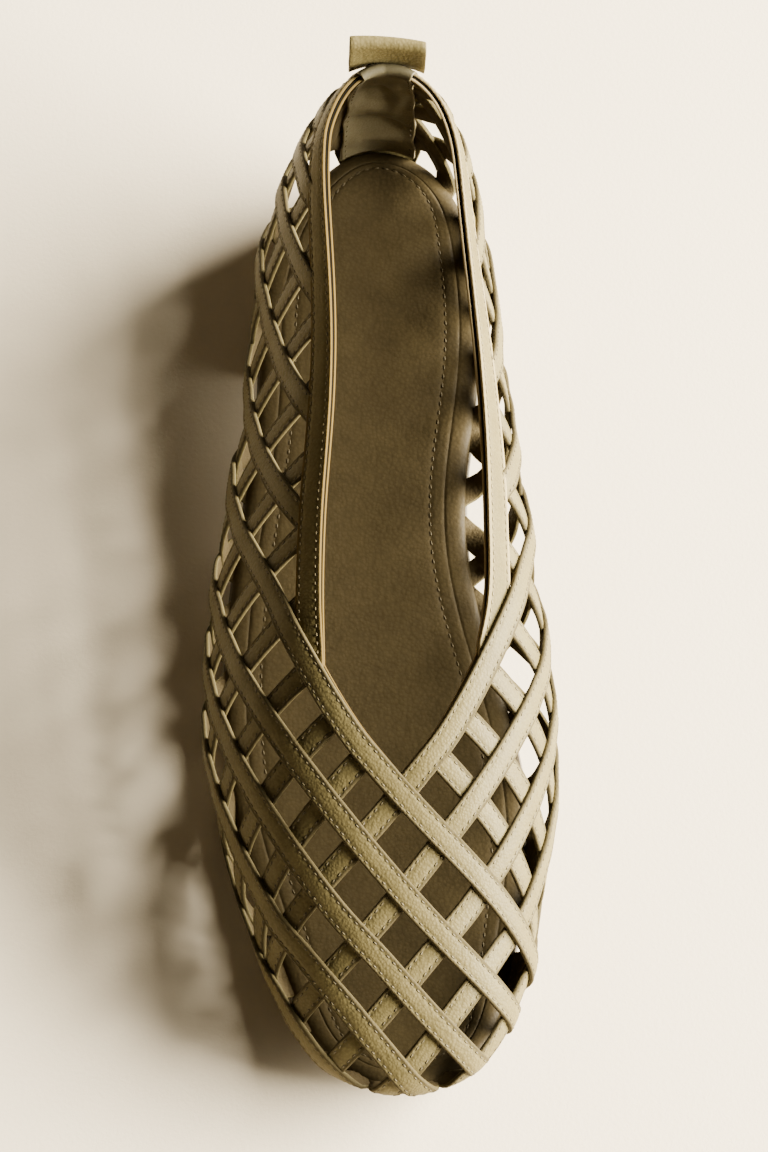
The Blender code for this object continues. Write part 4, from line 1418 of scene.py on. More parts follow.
@dataclass(frozen=True)
class Seam:
    """A kind of stitch: pitch, thread size and slant, in millimetres and radians."""

    pitch: float = 2.0
    length: float = 1.05
    thread: float = 0.40
    rise: float = 0.32
    lean: float = 0.10
    jitter: float = 0.05
    hole_length: float = 1.20
    hole_width: float = 0.50
    hole_rise: float = 0.20

    def inputs(self, finish: Material, seed: int, size: Triple, shift: float) -> dict[str, object]:
        """Inputs of the stitch tree.

        Args:
            finish: material of the stitches.
            seed: seed of their slant.
            size: length, width and rise of one stitch.
            shift: shift along the line.

        Returns:
            Values by the names of the inputs.
        """
        return {"Pitch": self.pitch * MM, "Stitch Size": Vector(size) * MM,
                "Shift": Vector((shift, 0.0, 0.0)) * MM, "Lean": self.lean, "Jitter": self.jitter,
                "Seed": seed, "Finish": finish}

    def thread_inputs(self, finish: Material, seed: int) -> dict[str, object]:
        """Inputs for the thread."""
        return self.inputs(finish, seed, (self.length, self.thread, self.rise), 0.0)

    def hole_inputs(self, finish: Material, seed: int) -> dict[str, object]:
        """Inputs for the dark marks between the stitches, painted shade for the needle holes."""
        size = (self.hole_length, self.hole_width, self.hole_rise)
        return self.inputs(finish, seed, size, self.pitch / 2.0)


@dataclass(frozen=True)
class Crease:
    """Soft ridge or trough across a panel, between two places as shares of its half width and height.

    Spread and height are millimetres; a trough has a negative height.
    """

    start: Pair
    end: Pair
    spread: float
    height: float
    least: float = 0.35
    margin: float = 0.05

    def lift(self, across: Array, down: float, size: Pair) -> Array:
        """Lift of the panel towards the foot.

        Args:
            across: -1 to 1 over the width.
            down: 0 at the top to 1 at the foot.
            size: half width and height of the panel.

        Returns:
            Level to add, negative towards the foot.
        """
        first = np.array(self.start) * size
        run = np.array(self.end) * size - first
        spot = np.stack([across, np.full(len(across), down)], 1) * size - first
        share = np.clip(spot @ run / (run @ run), 0.0, 1.0)
        gap = np.linalg.norm(spot - share[:, None] * run, axis=1)
        share = np.clip(share, self.margin, 1.0 - self.margin)
        fade = self.least + (1.0 - self.least) * np.sin(math.pi * share)
        return -self.height * fade * np.exp(-(gap / self.spread) ** 2)


HEEL_CREASES = (
    Crease((-0.9, 0.66), (0.75, 0.74), 1.7, -1.0),
    Crease((-0.75, 0.55), (0.6, 0.60), 2.4, 1.1),
    Crease((-0.5, 0.86), (0.8, 0.83), 2.0, 0.9),
    Crease((0.40, 0.10), (0.50, 0.48), 1.8, 0.7),
    Crease((-0.60, 0.12), (-0.45, 0.48), 2.0, -0.7),
    Crease((-0.2, 0.30), (0.3, 0.42), 2.2, -0.6),
    Crease((0.75, 0.35), (0.35, 0.66), 1.5, 0.7),
)


@dataclass
class Collar:
    """Band and lining round the opening, the backstay and the heel lining.

    Rows of stay_layers: share of the thickness, inset of the rim.
    Rows of patch_top: distance below the collar edge, level over the last.
    Rows of patch_waves: size, rate and start of the waves down its sides.
    """

    pattern: Pattern
    opening: Opening
    width: float = 6.4
    thick: float = 0.70
    band_height: float = 0.80
    front_height: float = 0.05
    front_fade: float = 22.0
    front_shear: float = 11.0
    lining_width: float = 7.0
    lining_thick: float = 0.62
    lining_height: float = -0.50
    stitch_inset: float = 1.10
    # Size and place of the near-black strip between band and lining, painted shade for the gap between their
    # cut edges.
    gap_shade_width: float = 2.6
    gap_shade_thick: float = 0.66
    gap_shade_inset: float = 0.14
    gap_shade_short: float = 9.0
    stitch_sink: float = 0.05
    stitch_trim: float = 3.0
    side_light_half: float = 14.0
    line_blur: float = 1.2
    normal_blur: float = 2.5
    stay_half: float = 8.6
    stay_top: float = 0.1
    stay_wrap: float = 1.2
    stay_height: float = 0.85
    stay_thick: float = 0.9
    stay_rows: int = 30
    stay_columns: int = 33
    stay_layers: Rows = ((0.0, 0.25), (0.0, 0.0), (0.6, 0.0), (1.0, 0.3))
    patch_half: float = 8.0
    patch_thick: float = 0.5
    patch_top: Rows = ((2.2, 1.75), (0.2, 1.78), (-1.1, 1.65), (-1.75, 1.25), (-1.95, 0.6), (-1.90, 0.0),
                       (-1.60, -0.5), (-0.9, -0.80), (0.6, -0.95))
    patch_columns: int = 41
    patch_rows: int = 43
    patch_waves: Rows = ((0.008, 1.4, 0.0), (0.02, 0.53, 1.0))
    patch_foot: float = 0.6
    patch_level: float = -0.98
    fold_shade_tone: float = -0.85
    fold_past: float = 2.0
    fold_run: float = 6.0

    def path(self, offset: float, front_run: float) -> Path:
        """Line round the collar at an offset from its edge, with level height."""
        spots = self.opening.line(self.pattern.back, offset, front_run)
        points, normals = self.pattern.lay(spots)
        normals = unit(blur(normals, self.normal_blur))
        return Path(blur(points, self.line_blur), normals, np.zeros(len(points)))

    def band_path(self) -> Path:
        """Middle line of the band, let down at both front ends where the throat tapes cross it."""
        return self.let_down(self.path(self.width / 2.0, self.opening.front_run))

    def let_down(self, path: Path) -> Path:
        """Line at the height of the band, which drops towards both front ends."""
        marks = path.marks()
        ends = np.minimum(marks, marks[-1] - marks)
        rise = smooth_step(ends / self.front_fade)
        path.height = self.front_height + (self.band_height - self.front_height) * rise
        return path

    def strip(self, path: Path, width: float, thick: float) -> MeshData:
        """Strip along a line of the collar, its cut edge towards the opening."""
        section = Section.cut_band(width, thick, self.stitch_inset)
        section = Section(-section.across, section.over, section.tone)
        return self.paint_side_light(path.swept(section, (self.front_shear, self.front_shear)))

    def band(self) -> MeshData:
        """Outer band."""
        return self.strip(self.band_path(), self.width, self.thick)

    def lining(self) -> MeshData:
        """Lining band on the inside, its cut edge level with that of the outer band."""
        path = self.path(self.lining_width / 2.0, self.opening.front_run)
        path.height = path.height + self.lining_height
        return self.strip(path, self.lining_width, self.lining_thick)

    def core(self) -> MeshData:
        """Near-black strip between band and lining, set back from their cut edges: painted shade for the dark
        gap between them.
        """
        middle = self.gap_shade_inset + self.gap_shade_width / 2.0
        path = self.let_down(self.path(middle, self.opening.front_run - self.gap_shade_short))
        path.height = path.height - self.gap_shade_thick
        return path.swept(Section.tape(self.gap_shade_width, self.gap_shade_thick, self.stitch_inset))

    def paint_side_light(self, mesh: MeshData) -> MeshData:
        """Strip whose cut edge turns from pale on the inner side of the foot to dark on the outer side:
        painted light and shade, pale where the edge lies in shade and dark where the key light strikes it.
        """
        share = smooth_step((mesh.vertices[:, 0] + self.side_light_half) / (2.0 * self.side_light_half))
        mesh.tone = np.where(mesh.tone > 0, mesh.tone * (2.0 * share - 1.0), mesh.tone)
        return mesh

    def stitch_rows(self) -> Lines:
        """Two stitch lines along the band."""
        path = self.band_path()
        offset = self.width / 2.0 - self.stitch_inset
        over = self.thick - self.stitch_sink
        return [path.row(side * offset, over, self.stitch_trim) for side in (-1, 1)]

    def backstay(self) -> MeshData:
        """Panel over the back seam that wraps under the foot, with a rounded rim."""
        share = np.linspace(-1.0, 1.0, self.stay_columns)
        layers = []
        for level, shrink in self.stay_layers:
            height = self.stay_height + self.stay_thick * level
            grid = self.panel_grid(share, self.stay_half - shrink, self.stay_top + shrink,
                                   shrink - self.stay_wrap)
            points, normals = self.pattern.lay(grid.reshape(-1, 2))
            normals = soft_rows(normals.reshape(-1, len(share), 3))
            layers.append(points.reshape(-1, len(share), 3) + normals * height)
        return shell(layers)

    def panel_grid(self, share: Array, half: float, top: float, bottom: float) -> Array:
        """Pattern points of a panel over the back seam, rows from the collar down."""
        side = np.where(share < 0, -1, 1)
        place = self.pattern.back - np.abs(share) * half
        high = self.opening.edge(side, place) + top
        low = self.pattern.limit(side, place) - bottom
        mix = np.linspace(0.0, 1.0, self.stay_rows)[:, None]
        reach = high[None, :] * (1.0 - mix) + low[None, :] * mix
        return np.stack([side[None, :] * reach, np.repeat(place[None, :], self.stay_rows, 0)], 2)

    def patch(self) -> MeshData:
        """Heel lining that is turned over the collar edge at the back and lies in soft creases; its
        turned-over top is darkened as painted shade.
        """
        share = np.linspace(-1.0, 1.0, self.patch_columns)
        side = np.where(share < 0, -1, 1)
        spots = []
        levels = []
        collar = np.array(self.patch_top)
        down = np.linspace(0.0, 1.0, self.patch_rows + 1)[1:]
        row = np.arange(len(collar) + len(down))
        wave = 1.0 + sum(size * np.sin(row * rate + start) for size, rate, start in self.patch_waves)
        for i in row:
            place = self.pattern.back - np.abs(share) * self.patch_half * wave[i]
            edge = self.opening.edge(side, place)
            foot = self.pattern.limit(side, place) - self.patch_foot
            if i < len(collar):
                reach = edge + collar[i, 0]
                level = np.full(len(share), collar[i, 1])
            else:
                mix = down[i - len(collar)]
                start = edge + collar[-1, 0]
                reach = start + (foot - start) * mix
                size = (self.patch_half, float(np.mean(foot - start)))
                creases = sum(crease.lift(share, mix, size) for crease in HEEL_CREASES)
                level = self.patch_level + creases
            spots.append(np.stack([side * reach, place], 1))
            levels.append(level)
        points, normals = self.pattern.lay(np.concatenate(spots))
        normals = soft_rows(normals.reshape(-1, len(share), 3))
        face = points.reshape(-1, len(share), 3) + normals * np.array(levels)[:, :, None]
        across = unit(np.gradient(face, axis=1))
        along = unit(np.gradient(face, axis=0))
        out = unit(np.cross(across, along))
        mesh = shell([face + out * self.patch_thick, face + out * self.patch_thick * 0.5, face])
        # Painted shade: the turned-over top rows are darkened through a negative tone that fades out below
        # the fold.
        fade = 1.0 - smooth_step((row - len(collar) + self.fold_past) / self.fold_run)
        fold = np.repeat(self.fold_shade_tone * fade, len(share))
        mesh.tone[:len(fold)] += fold
        mesh.tone[-len(fold):] += fold
        return mesh

    def panel_rows(self, half: float, top: float, bottom: float,
                   over: float, outward: float) -> Lines:
        """Stitch lines down both sides of a panel.

        Args:
            half: half width of the lines.
            top: distance of their upper ends below the collar edge.
            bottom: distance of their lower ends above the feather edge.
            over: height over the last.
            outward: 1 for the outer face, -1 for the inner face.

        Returns:
            Points and upward directions.
        """
        rows = []
        for share in (-1.0, 1.0):
            grid = self.panel_grid(np.array([share]), half, top, bottom)
            points, normals = self.pattern.lay(grid.reshape(-1, 2))
            rows.append((points + normals * over, normals * outward))
        return rows


def shell(layers: list[Array]) -> MeshData:
    """Closed mesh from stacked grids, the first and last one capped by their own cells.

    Args:
        layers: grids of rows, columns and three coordinates, from the underside to the top.

    Returns:
        The mesh; the rim layers carry the edge tone.
    """
    rows, columns = layers[0].shape[:2]
    size = rows * columns
    vertices = np.concatenate([layer.reshape(-1, 3) for layer in layers])
    faces = []
    for first, flip in ((0, True), ((len(layers) - 1) * size, False)):
        for i in range(rows - 1):
            for k in range(columns - 1):
                a = first + i * columns + k
                cell = [a, a + 1, a + columns + 1, a + columns]
                faces.append(cell[::-1] if flip else cell)
    rim = list(range(columns))
    rim += [i * columns + columns - 1 for i in range(1, rows)]
    rim += [(rows - 1) * columns + k for k in range(columns - 2, -1, -1)]
    rim += [i * columns for i in range(rows - 2, 0, -1)]
    for low in range(len(layers) - 1):
        for i, v in enumerate(rim):
            w = rim[(i + 1) % len(rim)]
            faces.append([low * size + v, low * size + w, (low + 1) * size + w, (low + 1) * size + v])
    on_rim = np.zeros(size, bool)
    on_rim[rim] = True
    keep = np.tile(on_rim, len(layers))
    tone = keep.astype(float)
    keep[:size] = True
    keep[-size:] = True
    number = np.cumsum(keep) - 1
    faces = [[int(number[v]) for v in face] for face in faces]
    return MeshData(vertices[keep], faces, tone[keep])


@dataclass
class Bottom:
    """Insole, outsole and heel, as plates with the outline of the last.

    Rows of tread and insole_ease: share of the length, value.
    Rows of sole_bottom, insole_edge and heel_rows: height, inset; rows of sole_top: drop, inset.
    """

    last: Last
    count: int = 160
    stitch_count: int = 240
    turn_margin: float = 1e-5
    insole_dip: float = -0.35
    cap_shares: tuple[float, ...] = (0.25, 0.5, 0.75)
    cap_width: float = 30.0
    tread: Rows = ((0.0, 10.3), (0.26, 10.3), (0.36, 7.6), (0.46, 4.2), (0.56, 0.9), (0.62, 0.0),
                   (0.76, 0.0), (0.88, 2.2), (1.0, 6.6))
    seat_gap: float = 0.3
    sole_bottom: Rows = ((0.0, 2.4), (0.08, 1.9), (0.35, 1.4), (0.75, 0.95), (1.3, 0.7))
    sole_top: Rows = ((1.5, 0.62), (1.25, 0.85), (1.05, 0.85), (0.8, 0.55), (0.45, 0.5), (0.15, 0.65),
                      (0.0, 1.0))
    insole_edge: Rows = ((0.0, 1.5), (0.45, 1.1), (0.9, 1.0), (1.4, 1.15), (1.8, 1.6), (2.15, 2.3),
                         (2.38, 3.2), (2.47, 4.2), (2.47, 5.2), (2.46, 5.70), (2.36, 5.88),
                         (2.36, 6.02), (2.47, 6.20), (2.50, 7.0), (2.48, 8.0), (2.44, 8.7),
                         (2.36, 9.05), (2.33, 9.3), (2.36, 9.55), (2.44, 9.9), (2.44, 11.0),
                         (2.40, 13.0), (2.36, 15.5))
    insole_stitch_inset: float = 9.3
    insole_stitch_height: float = 2.36
    insole_roll: float = 3.2
    insole_ease: Rows = ((0.0, 0.45), (0.05, 0.62), (0.14, 0.95), (0.3, 1.0), (0.75, 1.0), (0.9, 0.72),
                         (0.97, 0.5), (1.0, 0.42))
    heel_breast: float = 0.245
    heel_turns: int = 61
    heel_count: int = 40
    breast_count: int = 12
    breast_gap: float = 0.4
    heel_rows: Rows = ((10.0, 1.35), (9.6, 1.3), (6.0, 1.5), (2.75, 1.72), (2.6, 1.95), (2.45, 1.95),
                       (2.3, 1.75), (1.0, 1.9), (0.5, 2.05), (0.15, 2.35), (0.0, 2.8))

    def __post_init__(self) -> None:
        """Prepares the height of the tread and the ease of the insole's rows."""
        self.tread_height = gentle_curve(*np.array(self.tread).T)
        self.ease = gentle_curve(*np.array(self.insole_ease).T)

    def share(self, y: Array) -> Array:
        """Share of the length at places along the foot."""
        return np.clip(-np.asarray(y) / self.last.length, 0.0, 1.0)

    def ring(self, inset: float, count: int, eased: bool = False) -> Array:
        """Plan points round the outline, heel along the inside to the toe and back.

        Args:
            inset: distance to the inside.
            count: steps on each side.
            eased: True where insets past the rolled edge shrink towards heel and toe.

        Returns:
            Points across and along the foot.
        """
        half = np.linspace(0.0, math.pi, count + 1)
        half[0] = self.turn_margin
        half[-1] = math.pi - self.turn_margin
        depth = np.full(len(half), inset)
        if eased and inset > self.insole_roll:
            share = (1.0 - np.cos(half)) / 2.0
            depth = self.insole_roll + (inset - self.insole_roll) * self.ease(share)
        inner = self.last.edge(half, depth)
        outer = self.last.edge(-half, depth)
        inner[0, 0] = 0.0
        inner[-1, 0] = 0.0
        return np.concatenate([inner, outer[-2:0:-1]])

    def plate(self, rings: Lines, crown: float) -> MeshData:
        """Closed plate from rings that are capped across the foot.

        Args:
            rings: plan points and heights of every ring, from the underside to the top.
            crown: lift of the middle of the top cap.

        Returns:
            The mesh.
        """
        total = len(rings[0][0])
        half = total // 2
        vertices = [np.concatenate([plan, height[:, None]], 1) for plan, height in rings]
        faces = bands(len(rings), total)
        start = len(rings) * total
        for first, flip, lift in ((0, True, 0.0), ((len(rings) - 1) * total, False, crown)):
            ring = vertices[first // total]
            inner = ring[1:half]
            outer = ring[total - 1:half:-1]
            lines = []
            for share in self.cap_shares:
                middle = inner * (1.0 - share) + outer * share
                wide = smooth_step(np.linalg.norm(inner - outer, axis=1) / self.cap_width)
                middle[:, 2] += lift * 4.0 * share * (1.0 - share) * wide
                lines.append(np.arange(start, start + half - 1))
                vertices.append(middle)
                start += half - 1
            columns = [first + np.arange(1, half), *lines, first + np.arange(total - 1, half, -1)]
            cap = []
            for left, right in zip(columns[:-1], columns[1:]):
                for i in range(half - 2):
                    cap.append([left[i], left[i + 1], right[i + 1], right[i]])
            cap.append([first] + [int(c[0]) for c in columns])
            cap.append([first + half] + [int(c[-1]) for c in reversed(columns)])
            faces.extend([[int(v) for v in (reversed(f) if flip else f)] for f in cap])
        points = np.concatenate(vertices)
        return MeshData(points, faces, np.zeros(len(points)))

    def outsole(self) -> MeshData:
        """Outsole with a fine groove round its side."""
        rings = []
        for height, inset in self.sole_bottom:
            plan = self.ring(inset, self.count)
            rings.append((plan, self.tread_height(self.share(plan[:, 1])) + height))
        for drop, inset in self.sole_top:
            plan = self.ring(inset, self.count)
            level = self.last.curves["feather"](self.share(plan[:, 1])) - self.seat_gap
            rings.append((plan, level - drop))
        return self.plate(rings, 0.0)

    def insole(self) -> MeshData:
        """Insole with a rolled edge, a creased line and a channel for its stitches."""
        rings = []
        for height, inset in self.insole_edge:
            plan = self.ring(inset, self.count, True)
            rings.append((plan, self.last.curves["feather"](self.share(plan[:, 1])) + height))
        return self.plate(rings, self.insole_dip)

    def insole_stitches(self) -> Lines:
        """Stitch line round the insole."""
        plan = self.ring(self.insole_stitch_inset, self.stitch_count, True)
        level = self.last.curves["feather"](self.share(plan[:, 1])) + self.insole_stitch_height
        line = np.concatenate([plan, level[:, None]], 1)
        line = np.concatenate([line, line[:1]])
        return [(line, np.tile((0.0, 0.0, 1.0), (len(line), 1)))]

    def heel(self) -> MeshData:
        """Low heel with the joint of its top lift."""
        breast = math.acos(1.0 - 2.0 * self.heel_breast)
        half = np.linspace(self.turn_margin, breast, self.heel_turns)
        rings = []
        for height, inset in self.heel_rows:
            inner = self.last.edge(half, inset)
            outer = self.last.edge(-half, inset)
            inner[0, 0] = 0.0
            front = -self.heel_breast * self.last.length + (inset - self.heel_rows[0][1])
            inner = inner[inner[:, 1] > front + self.breast_gap]
            outer = outer[outer[:, 1] > front + self.breast_gap]
            inner = evenly(np.concatenate([inner, [(inner[-1, 0], front)]]), self.heel_count)
            outer = evenly(np.concatenate([outer, [(outer[-1, 0], front)]]), self.heel_count)
            outer[0] = inner[0]
            across = np.linspace(inner[-1], outer[-1], self.breast_count)[1:-1]
            plan = np.concatenate([inner, across, outer[:0:-1]])
            rings.append(np.concatenate([plan, np.full((len(plan), 1), height)], 1))
        total = len(rings[0])
        faces = bands(len(rings), total)
        faces.append(list(range(total)))
        faces.append([(len(rings) - 1) * total + i for i in reversed(range(total))])
        points = np.concatenate(rings)
        return MeshData(points, faces, np.zeros(len(points)))


@dataclass
class PullTab:
    """Folded strip at the back of the collar."""

    pattern: Pattern
    opening: Opening
    width: float = 17.6
    shift: float = 0.6
    thick: float = 1.3
    rise: float = 6.8
    lean: float = math.radians(-8.0)
    leg: float = 5.4
    fold: float = 0.95
    curve: float = 19.0
    fade: float = 0.72
    step: Pair = (0.0, 1.6)
    wall: float = 1.75
    gap: float = 0.05
    bevel: float = 0.28
    tilt: float = 0.06
    swing: float = 0.07
    leg_count: int = 10
    free_count: int = 9
    turn_count: int = 15
    column_count: int = 21
    softness: float = 0.8
    bevel_share: float = 0.3
    slim: Pair = (0.62, 0.86)

    def centre_line(self) -> tuple[Array, float]:
        """Middle line of the strip in the plane of the back seam.

        Returns:
            Points along and up, and the sideways place of the tab.
        """
        top = self.opening.collar[0][1]
        outer = self.wall + self.gap + self.thick / 2.0
        down = np.linspace(self.leg, 0.0, self.leg_count)
        spots = np.stack([-(top + down), np.full(len(down), self.pattern.back)], 1)
        base = self.pattern.lift(spots)
        dx, dy = self.pattern.frame(spots)
        outward = np.cross(dx, dy)
        outward[:, 0] = 0.0
        outward = unit(outward)
        leg = (base + outward * outer)[:, 1:]
        up = np.array([math.sin(self.lean), math.cos(self.lean)])
        back = np.array([math.cos(self.lean), -math.sin(self.lean)])
        start = leg[-1] + np.array(self.step)
        free = np.linspace(0.0, self.rise - self.fold, self.free_count)[:, None]
        front = np.concatenate([leg, start + up * free])
        centre = front[-1] + back * self.fold
        turn = np.linspace(0.0, math.pi, self.turn_count)[1:, None]
        arc = centre - back * self.fold * np.cos(turn) + up * self.fold * np.sin(turn)
        rear = front[-1] + back * 2.0 * self.fold - up * free[1:]
        leg_rear = leg + outward[:, 1:] * (self.thick + self.gap)
        line = np.concatenate([front, arc, rear, leg_rear[::-1][1:]])
        return blur(line, self.softness), float(base[-1, 0]) + self.shift

    def mesh(self) -> MeshData:
        """The strip with softly cut edges."""
        line, middle = self.centre_line()
        direction = unit(np.gradient(line, axis=0))
        side = np.stack([-direction[:, 1], direction[:, 0]], 1) * self.thick / 2.0
        half = self.width / 2.0
        inner = np.linspace(-half + self.bevel, half - self.bevel, self.column_count)
        rim = half - self.bevel * self.bevel_share
        columns = np.concatenate([[-half, -rim], inner, [rim, half]])
        slim = np.ones(len(columns))
        slim[[0, -1]] = self.slim[0]
        slim[[1, -2]] = self.slim[1]
        height = line[:, 1]
        low = height.min()
        free = (height - low) / (height.max() - low)
        blend = 1.0 - free * self.fade
        count = len(line)
        vertices = []
        tone = []
        for x, share in zip(columns, slim):
            drop = self.curve - math.sqrt(self.curve ** 2 - x ** 2)
            loop = np.concatenate([line - side * share, (line + side * share)[::-1]])
            fall = drop * np.concatenate([blend, blend[::-1]])
            place = np.full(len(loop), middle + x)
            fall = fall + self.swing * x * np.concatenate([free, free[::-1]])
            vertices.append(np.stack([place, loop[:, 0] - fall, loop[:, 1] - self.tilt * x], 1))
            tone.append(np.full(len(loop), 1.0 if share < self.slim[1] else 0.0))
        size = 2 * count
        faces = []
        for c in range(len(columns) - 1):
            for i in range(size):
                j = (i + 1) % size
                faces.append([c * size + j, c * size + i, (c + 1) * size + i, (c + 1) * size + j])
        for first in (0, (len(columns) - 1) * size):
            for i in range(count - 1):
                last = first + size - 1 - i
                faces.append([first + i, first + i + 1, last - 1, last])
        return MeshData(np.concatenate(vertices), faces, np.concatenate(tone))


@dataclass
class Studio:
    """Floor, light and camera.

    Angles are degrees; distance, sensor and target are millimetres, the target in the frame of the last;
    lights and floor are set out in metres of the part.
    """

    placement: Placement
    elevation: float = 66.03
    azimuth: float = -5.28
    roll: float = 4.007
    distance: float = 1171.3
    focal_pixels: float = 5111.0
    image_height: float = 1152.0
    sensor: float = 36.0
    target: Triple = (-1.205, -119.057, 20.0)
    key_place: Triple = (1.84, 0.22, 0.74)
    key_power: float = 1000.0
    key_size: Pair = (2.3, 1.1)
    key_colour: Triple = (1.0, 0.945, 0.82)
    fill_colour: Triple = (1.0, 0.80, 0.52)
    fill_strength: float = 0.11
    floor_size: float = 14.0
    floor_paper: Fibre = Fibre("floor_paper", (0.70, 0.605, 0.445), (0.68, 0.585, 0.430), size=1.0 / 0.9,
                               detail=4.0, share=0.7, contrast=(0.25, 0.75), roughness=0.85, specular=0.2)

    def camera(self) -> None:
        """Sets up the camera at the angle of the photograph."""
        high = math.radians(self.elevation)
        turn = math.radians(self.azimuth)
        roll = math.radians(self.roll)
        back = Vector((math.sin(turn) * math.cos(high), -math.cos(turn) * math.cos(high), math.sin(high)))
        right = Vector((math.cos(turn), math.sin(turn), 0.0))
        up = back.cross(right)
        across = right * math.cos(roll) + up * math.sin(roll)
        above = up * math.cos(roll) - right * math.sin(roll)
        aim = Vector(self.placement.to_part(np.array(self.target)))
        spot = aim + back * self.distance * MM
        data = bpy.data.cameras.new("photo_camera")
        data.sensor_fit = "VERTICAL"
        data.sensor_height = self.sensor
        data.lens = self.sensor * self.focal_pixels / self.image_height
        item = bpy.data.objects.new("photo_camera", data)
        turned = Matrix((across, above, back)).transposed().to_4x4()
        item.matrix_world = Matrix.Translation(spot) @ turned
        bpy.context.scene.collection.objects.link(item)
        bpy.context.scene.camera = item

    def light(self) -> None:
        """Adds a key light from the right that faces the shoe, and a low warm fill from all round."""
        data = bpy.data.lights.new("key", "AREA")
        data.shape = "RECTANGLE"
        data.energy = self.key_power
        data.size, data.size_y = self.key_size
        data.color = self.key_colour
        item = bpy.data.objects.new("key", data)
        item.location = self.key_place
        item.rotation_euler = (-Vector(self.key_place)).to_track_quat("-Z", "Y").to_euler()
        bpy.context.scene.collection.objects.link(item)
        world = bpy.data.worlds.new("studio")
        bpy.context.scene.world = world
        world.use_nodes = True
        shade = world.node_tree.nodes["Background"]
        shade.inputs["Color"].default_value = (*self.fill_colour, 1.0)
        shade.inputs["Strength"].default_value = self.fill_strength

    def floor(self) -> None:
        """Adds the pale floor."""
        half = self.floor_size / 2.0
        mesh = bpy.data.meshes.new("floor")
        corners = [(-half, -half, 0.0), (half, -half, 0.0), (half, half, 0.0), (-half, half, 0.0)]
        mesh.from_pydata(corners, [], [[0, 1, 2, 3]])
        mesh.materials.append(self.floor_paper.make())
        item = bpy.data.objects.new("floor", mesh)
        bpy.context.scene.collection.objects.link(item)


KHAKI = ((0.128, 0.103, 0.041), (0.106, 0.085, 0.033))
# Near-black colours of the strip that paints the shade in the gap between collar band and lining.
GAP_SHADE = ((0.0040, 0.0030, 0.0014), (0.0030, 0.0022, 0.0010))
UPPER = ("upper", "leather")
INSOLE = ("insole", "insole_leather")


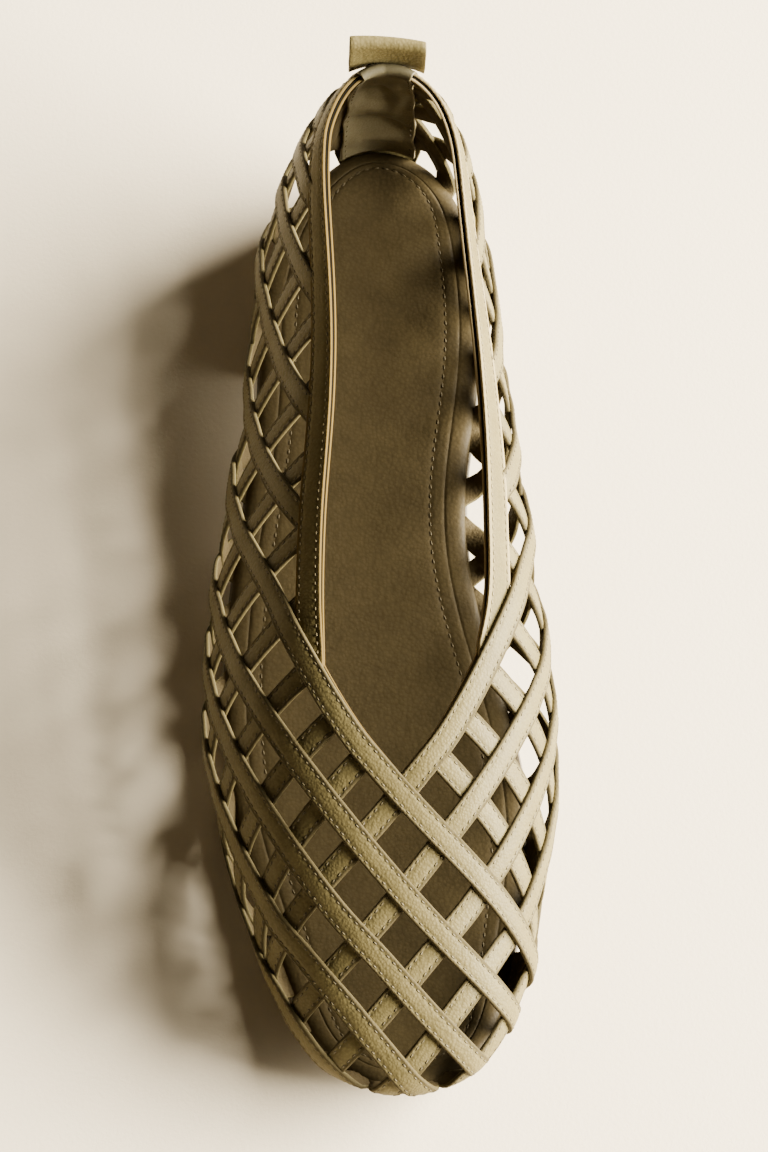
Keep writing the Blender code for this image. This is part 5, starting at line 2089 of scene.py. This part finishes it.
@dataclass
class Shoe:
    """The whole shoe, made in the order in which its layers lie."""

    placement: Placement
    row_inset: float = 1.1
    lining_row_inset: float = 0.9
    row_sink: float = 0.02
    stay_row_ends: Pair = (7.0, 2.0)
    lining_row_ends: Pair = (3.0, 2.5)
    tape_seam: Seam = Seam()
    collar_seam: Seam = Seam(rise=0.44)
    insole_seam: Seam = Seam(pitch=2.3, length=1.5, thread=0.5, rise=0.34)

    def __post_init__(self) -> None:
        """Prepares the last, its pattern and the finishes."""
        self.last = Last()
        self.pattern = Pattern(self.last)
        self.opening = Opening()
        self.workshop = Workshop(self.placement, StitchTree().build())
        finishes = {
            "tape": Leather("khaki_leather", *KHAKI, (0.048, 0.037, 0.015)),
            "tab": Leather("tab_leather", *KHAKI, (0.115, 0.088, 0.043), grain=0.75, depth=0.07),
            # Collar edges: pale edge colour on the inner side, where they lie in shade, and a dark second
            # colour on the outer side, where the key light strikes them: painted light and shade.
            "collar": Leather("collar_leather", *KHAKI, (0.250, 0.195, 0.098), (0.066, 0.043, 0.012),
                              specular=0.05),
            # Insole: a dark olive-brown leather, made darker still as painted shade from the walls over it.
            "insole": Leather("insole_leather", (0.041, 0.030, 0.0120), (0.034, 0.0245, 0.0097),
                              (0.066, 0.050, 0.022), roughness=0.56, specular=0.08, grain=0.85, depth=0.05),
            # Heel lining: its last, darkest colour is reached only by the painted shade on the turned-over
            # top.
            "heel": Leather("heel_lining_leather", (0.126, 0.105, 0.058), (0.100, 0.083, 0.045),
                            (0.100, 0.079, 0.039), (0.044, 0.037, 0.018), roughness=0.42, specular=0.16,
                            grain=0.5, depth=0.03),
            # Lining edges take the same painted light and shade by side as the collar band.
            "suede": Suede("lining_suede", (0.060, 0.043, 0.018), (0.045, 0.032, 0.013),
                           (0.250, 0.190, 0.098)),
            "thread": Fibre("khaki_thread", (0.138, 0.110, 0.053), (0.088, 0.069, 0.032)),
            # Paler thread for the collar band: painted highlight for the light its raised stitches catch
            # where the band lies in shade.
            "pale_glint_thread": Fibre("collar_glint_thread", (0.215, 0.172, 0.090), (0.140, 0.110, 0.054)),
            "dark_thread": Fibre("insole_thread", (0.054, 0.041, 0.018), (0.035, 0.026, 0.011)),
            # Near-black marks between stitches: painted shade for the inside of the needle holes.
            "hole_shade": Rubber("needle_hole_shade", (0.020, 0.015, 0.008), (0.014, 0.010, 0.005), 0.9),
            # Near-black strip in the collar gap: painted shade.
            "core": Suede("collar_gap_shade", *GAP_SHADE, *GAP_SHADE),
            "rubber": Rubber("sole_rubber", (0.075, 0.059, 0.034), (0.058, 0.045, 0.025)),
        }
        self.finish = {name: finish.make() for name, finish in finishes.items()}

    def build(self) -> None:
        """Builds and dresses every piece."""
        collar = Collar(self.pattern, self.opening)
        lattice = Lattice(self.pattern, self.opening)
        self.build_lattice(lattice, collar)
        self.build_collar(collar)
        # Throat lining edges are painted pale or dark by side, as painted light and shade.
        self.add("throat_lining", collar.paint_side_light(lattice.throat_lining()), "suede", UPPER)
        self.build_bottom()
        tab = PullTab(self.pattern, self.opening).mesh()
        self.add("heel_pull_tab", tab, "tab", ("pull_tab", "tab_leather"))

    def add(self, name: str, data: MeshData, finish: str, place: tuple[str, str]) -> None:
        """Adds a piece.

        Args:
            name: name of the piece.
            data: its mesh.
            finish: key of its finish.
            place: node that it stands for and material slot.
        """
        self.workshop.piece(name, data, self.finish[finish], *place)

    def sew(self, name: str, rows: Lines, seam: Seam, thread: str, seed: int,
            place: tuple[str, str] = UPPER) -> None:
        """Sews thread along lines of a piece, with dark marks between the stitches as painted shade for the
        needle holes.

        Args:
            name: name of the piece.
            rows: points and upward directions of every line.
            seam: kind of stitch.
            thread: key of the thread's finish.
            seed: seed of the stitches' slant.
            place: node that they stand for and material slot.
        """
        inputs = seam.thread_inputs(self.finish[thread], seed)
        self.workshop.sewn(name + "_stitches", rows, inputs, *place)
        inputs = seam.hole_inputs(self.finish["hole_shade"], seed)
        self.workshop.sewn(name + "_needle_hole_shades", rows, inputs, *place)

    def build_lattice(self, lattice: Lattice, collar: Collar) -> None:
        """Builds the tapes of the upper, layer by layer."""
        lattice.lay(collar.band_path())
        groups = (("side_under_tapes", Kind.UNDER, None), ("side_over_tapes", Kind.OVER, None),
                  ("vamp_lower_tapes", Kind.VAMP, Family.B), ("vamp_upper_tapes", Kind.VAMP, Family.A))
        for seed, (name, kind, family) in enumerate(groups):
            self.add(name, lattice.mesh(kind, family), "tape", UPPER)
            self.sew(name, lattice.stitch_rows(kind, family), self.tape_seam, "thread", seed)

    def build_collar(self, collar: Collar) -> None:
        """Builds the collar, the backstay and the heel lining."""
        self.add("collar_band", collar.band(), "collar", UPPER)
        self.add("collar_lining", collar.lining(), "suede", UPPER)
        # Near-black strip between band and lining: painted shade for the gap between their cut edges.
        self.add("collar_gap_shade", collar.core(), "core", UPPER)
        # Collar stitches in the paler thread, a painted highlight.
        self.sew("collar_band", collar.stitch_rows(), self.collar_seam, "pale_glint_thread", seed=11)
        self.add("heel_backstay", collar.backstay(), "tape", UPPER)
        over = collar.stay_height + collar.stay_thick - self.row_sink
        rows = collar.panel_rows(collar.stay_half - self.row_inset, *self.stay_row_ends, over, 1.0)
        self.sew("heel_backstay", rows, self.tape_seam, "thread", seed=12)
        self.add("heel_lining", collar.patch(), "heel", UPPER)
        over = collar.patch_level - self.row_sink
        half = collar.patch_half - self.lining_row_inset
        rows = collar.panel_rows(half, *self.lining_row_ends, over, -1.0)
        self.sew("heel_lining", rows, self.tape_seam, "thread", seed=13)

    def build_bottom(self) -> None:
        """Builds insole, outsole and heel."""
        bottom = Bottom(self.last)
        self.add("footbed", bottom.insole(), "insole", INSOLE)
        rows = bottom.insole_stitches()
        self.sew("footbed", rows, self.insole_seam, "dark_thread", seed=21, place=INSOLE)
        self.add("thin_outsole", bottom.outsole(), "rubber", ("outsole", "sole_rubber"))
        self.add("low_heel", bottom.heel(), "rubber", ("heel", "heel_rubber"))


def main() -> None:
    """Builds the shoe, its floor, light and camera, and notes the sizes."""
    logging.basicConfig(level=logging.INFO, format="%(name)s %(message)s")
    placement = Placement()
    Shoe(placement).build()
    studio = Studio(placement)
    studio.floor()
    studio.light()
    studio.camera()


if __name__ == "__main__":
    main()
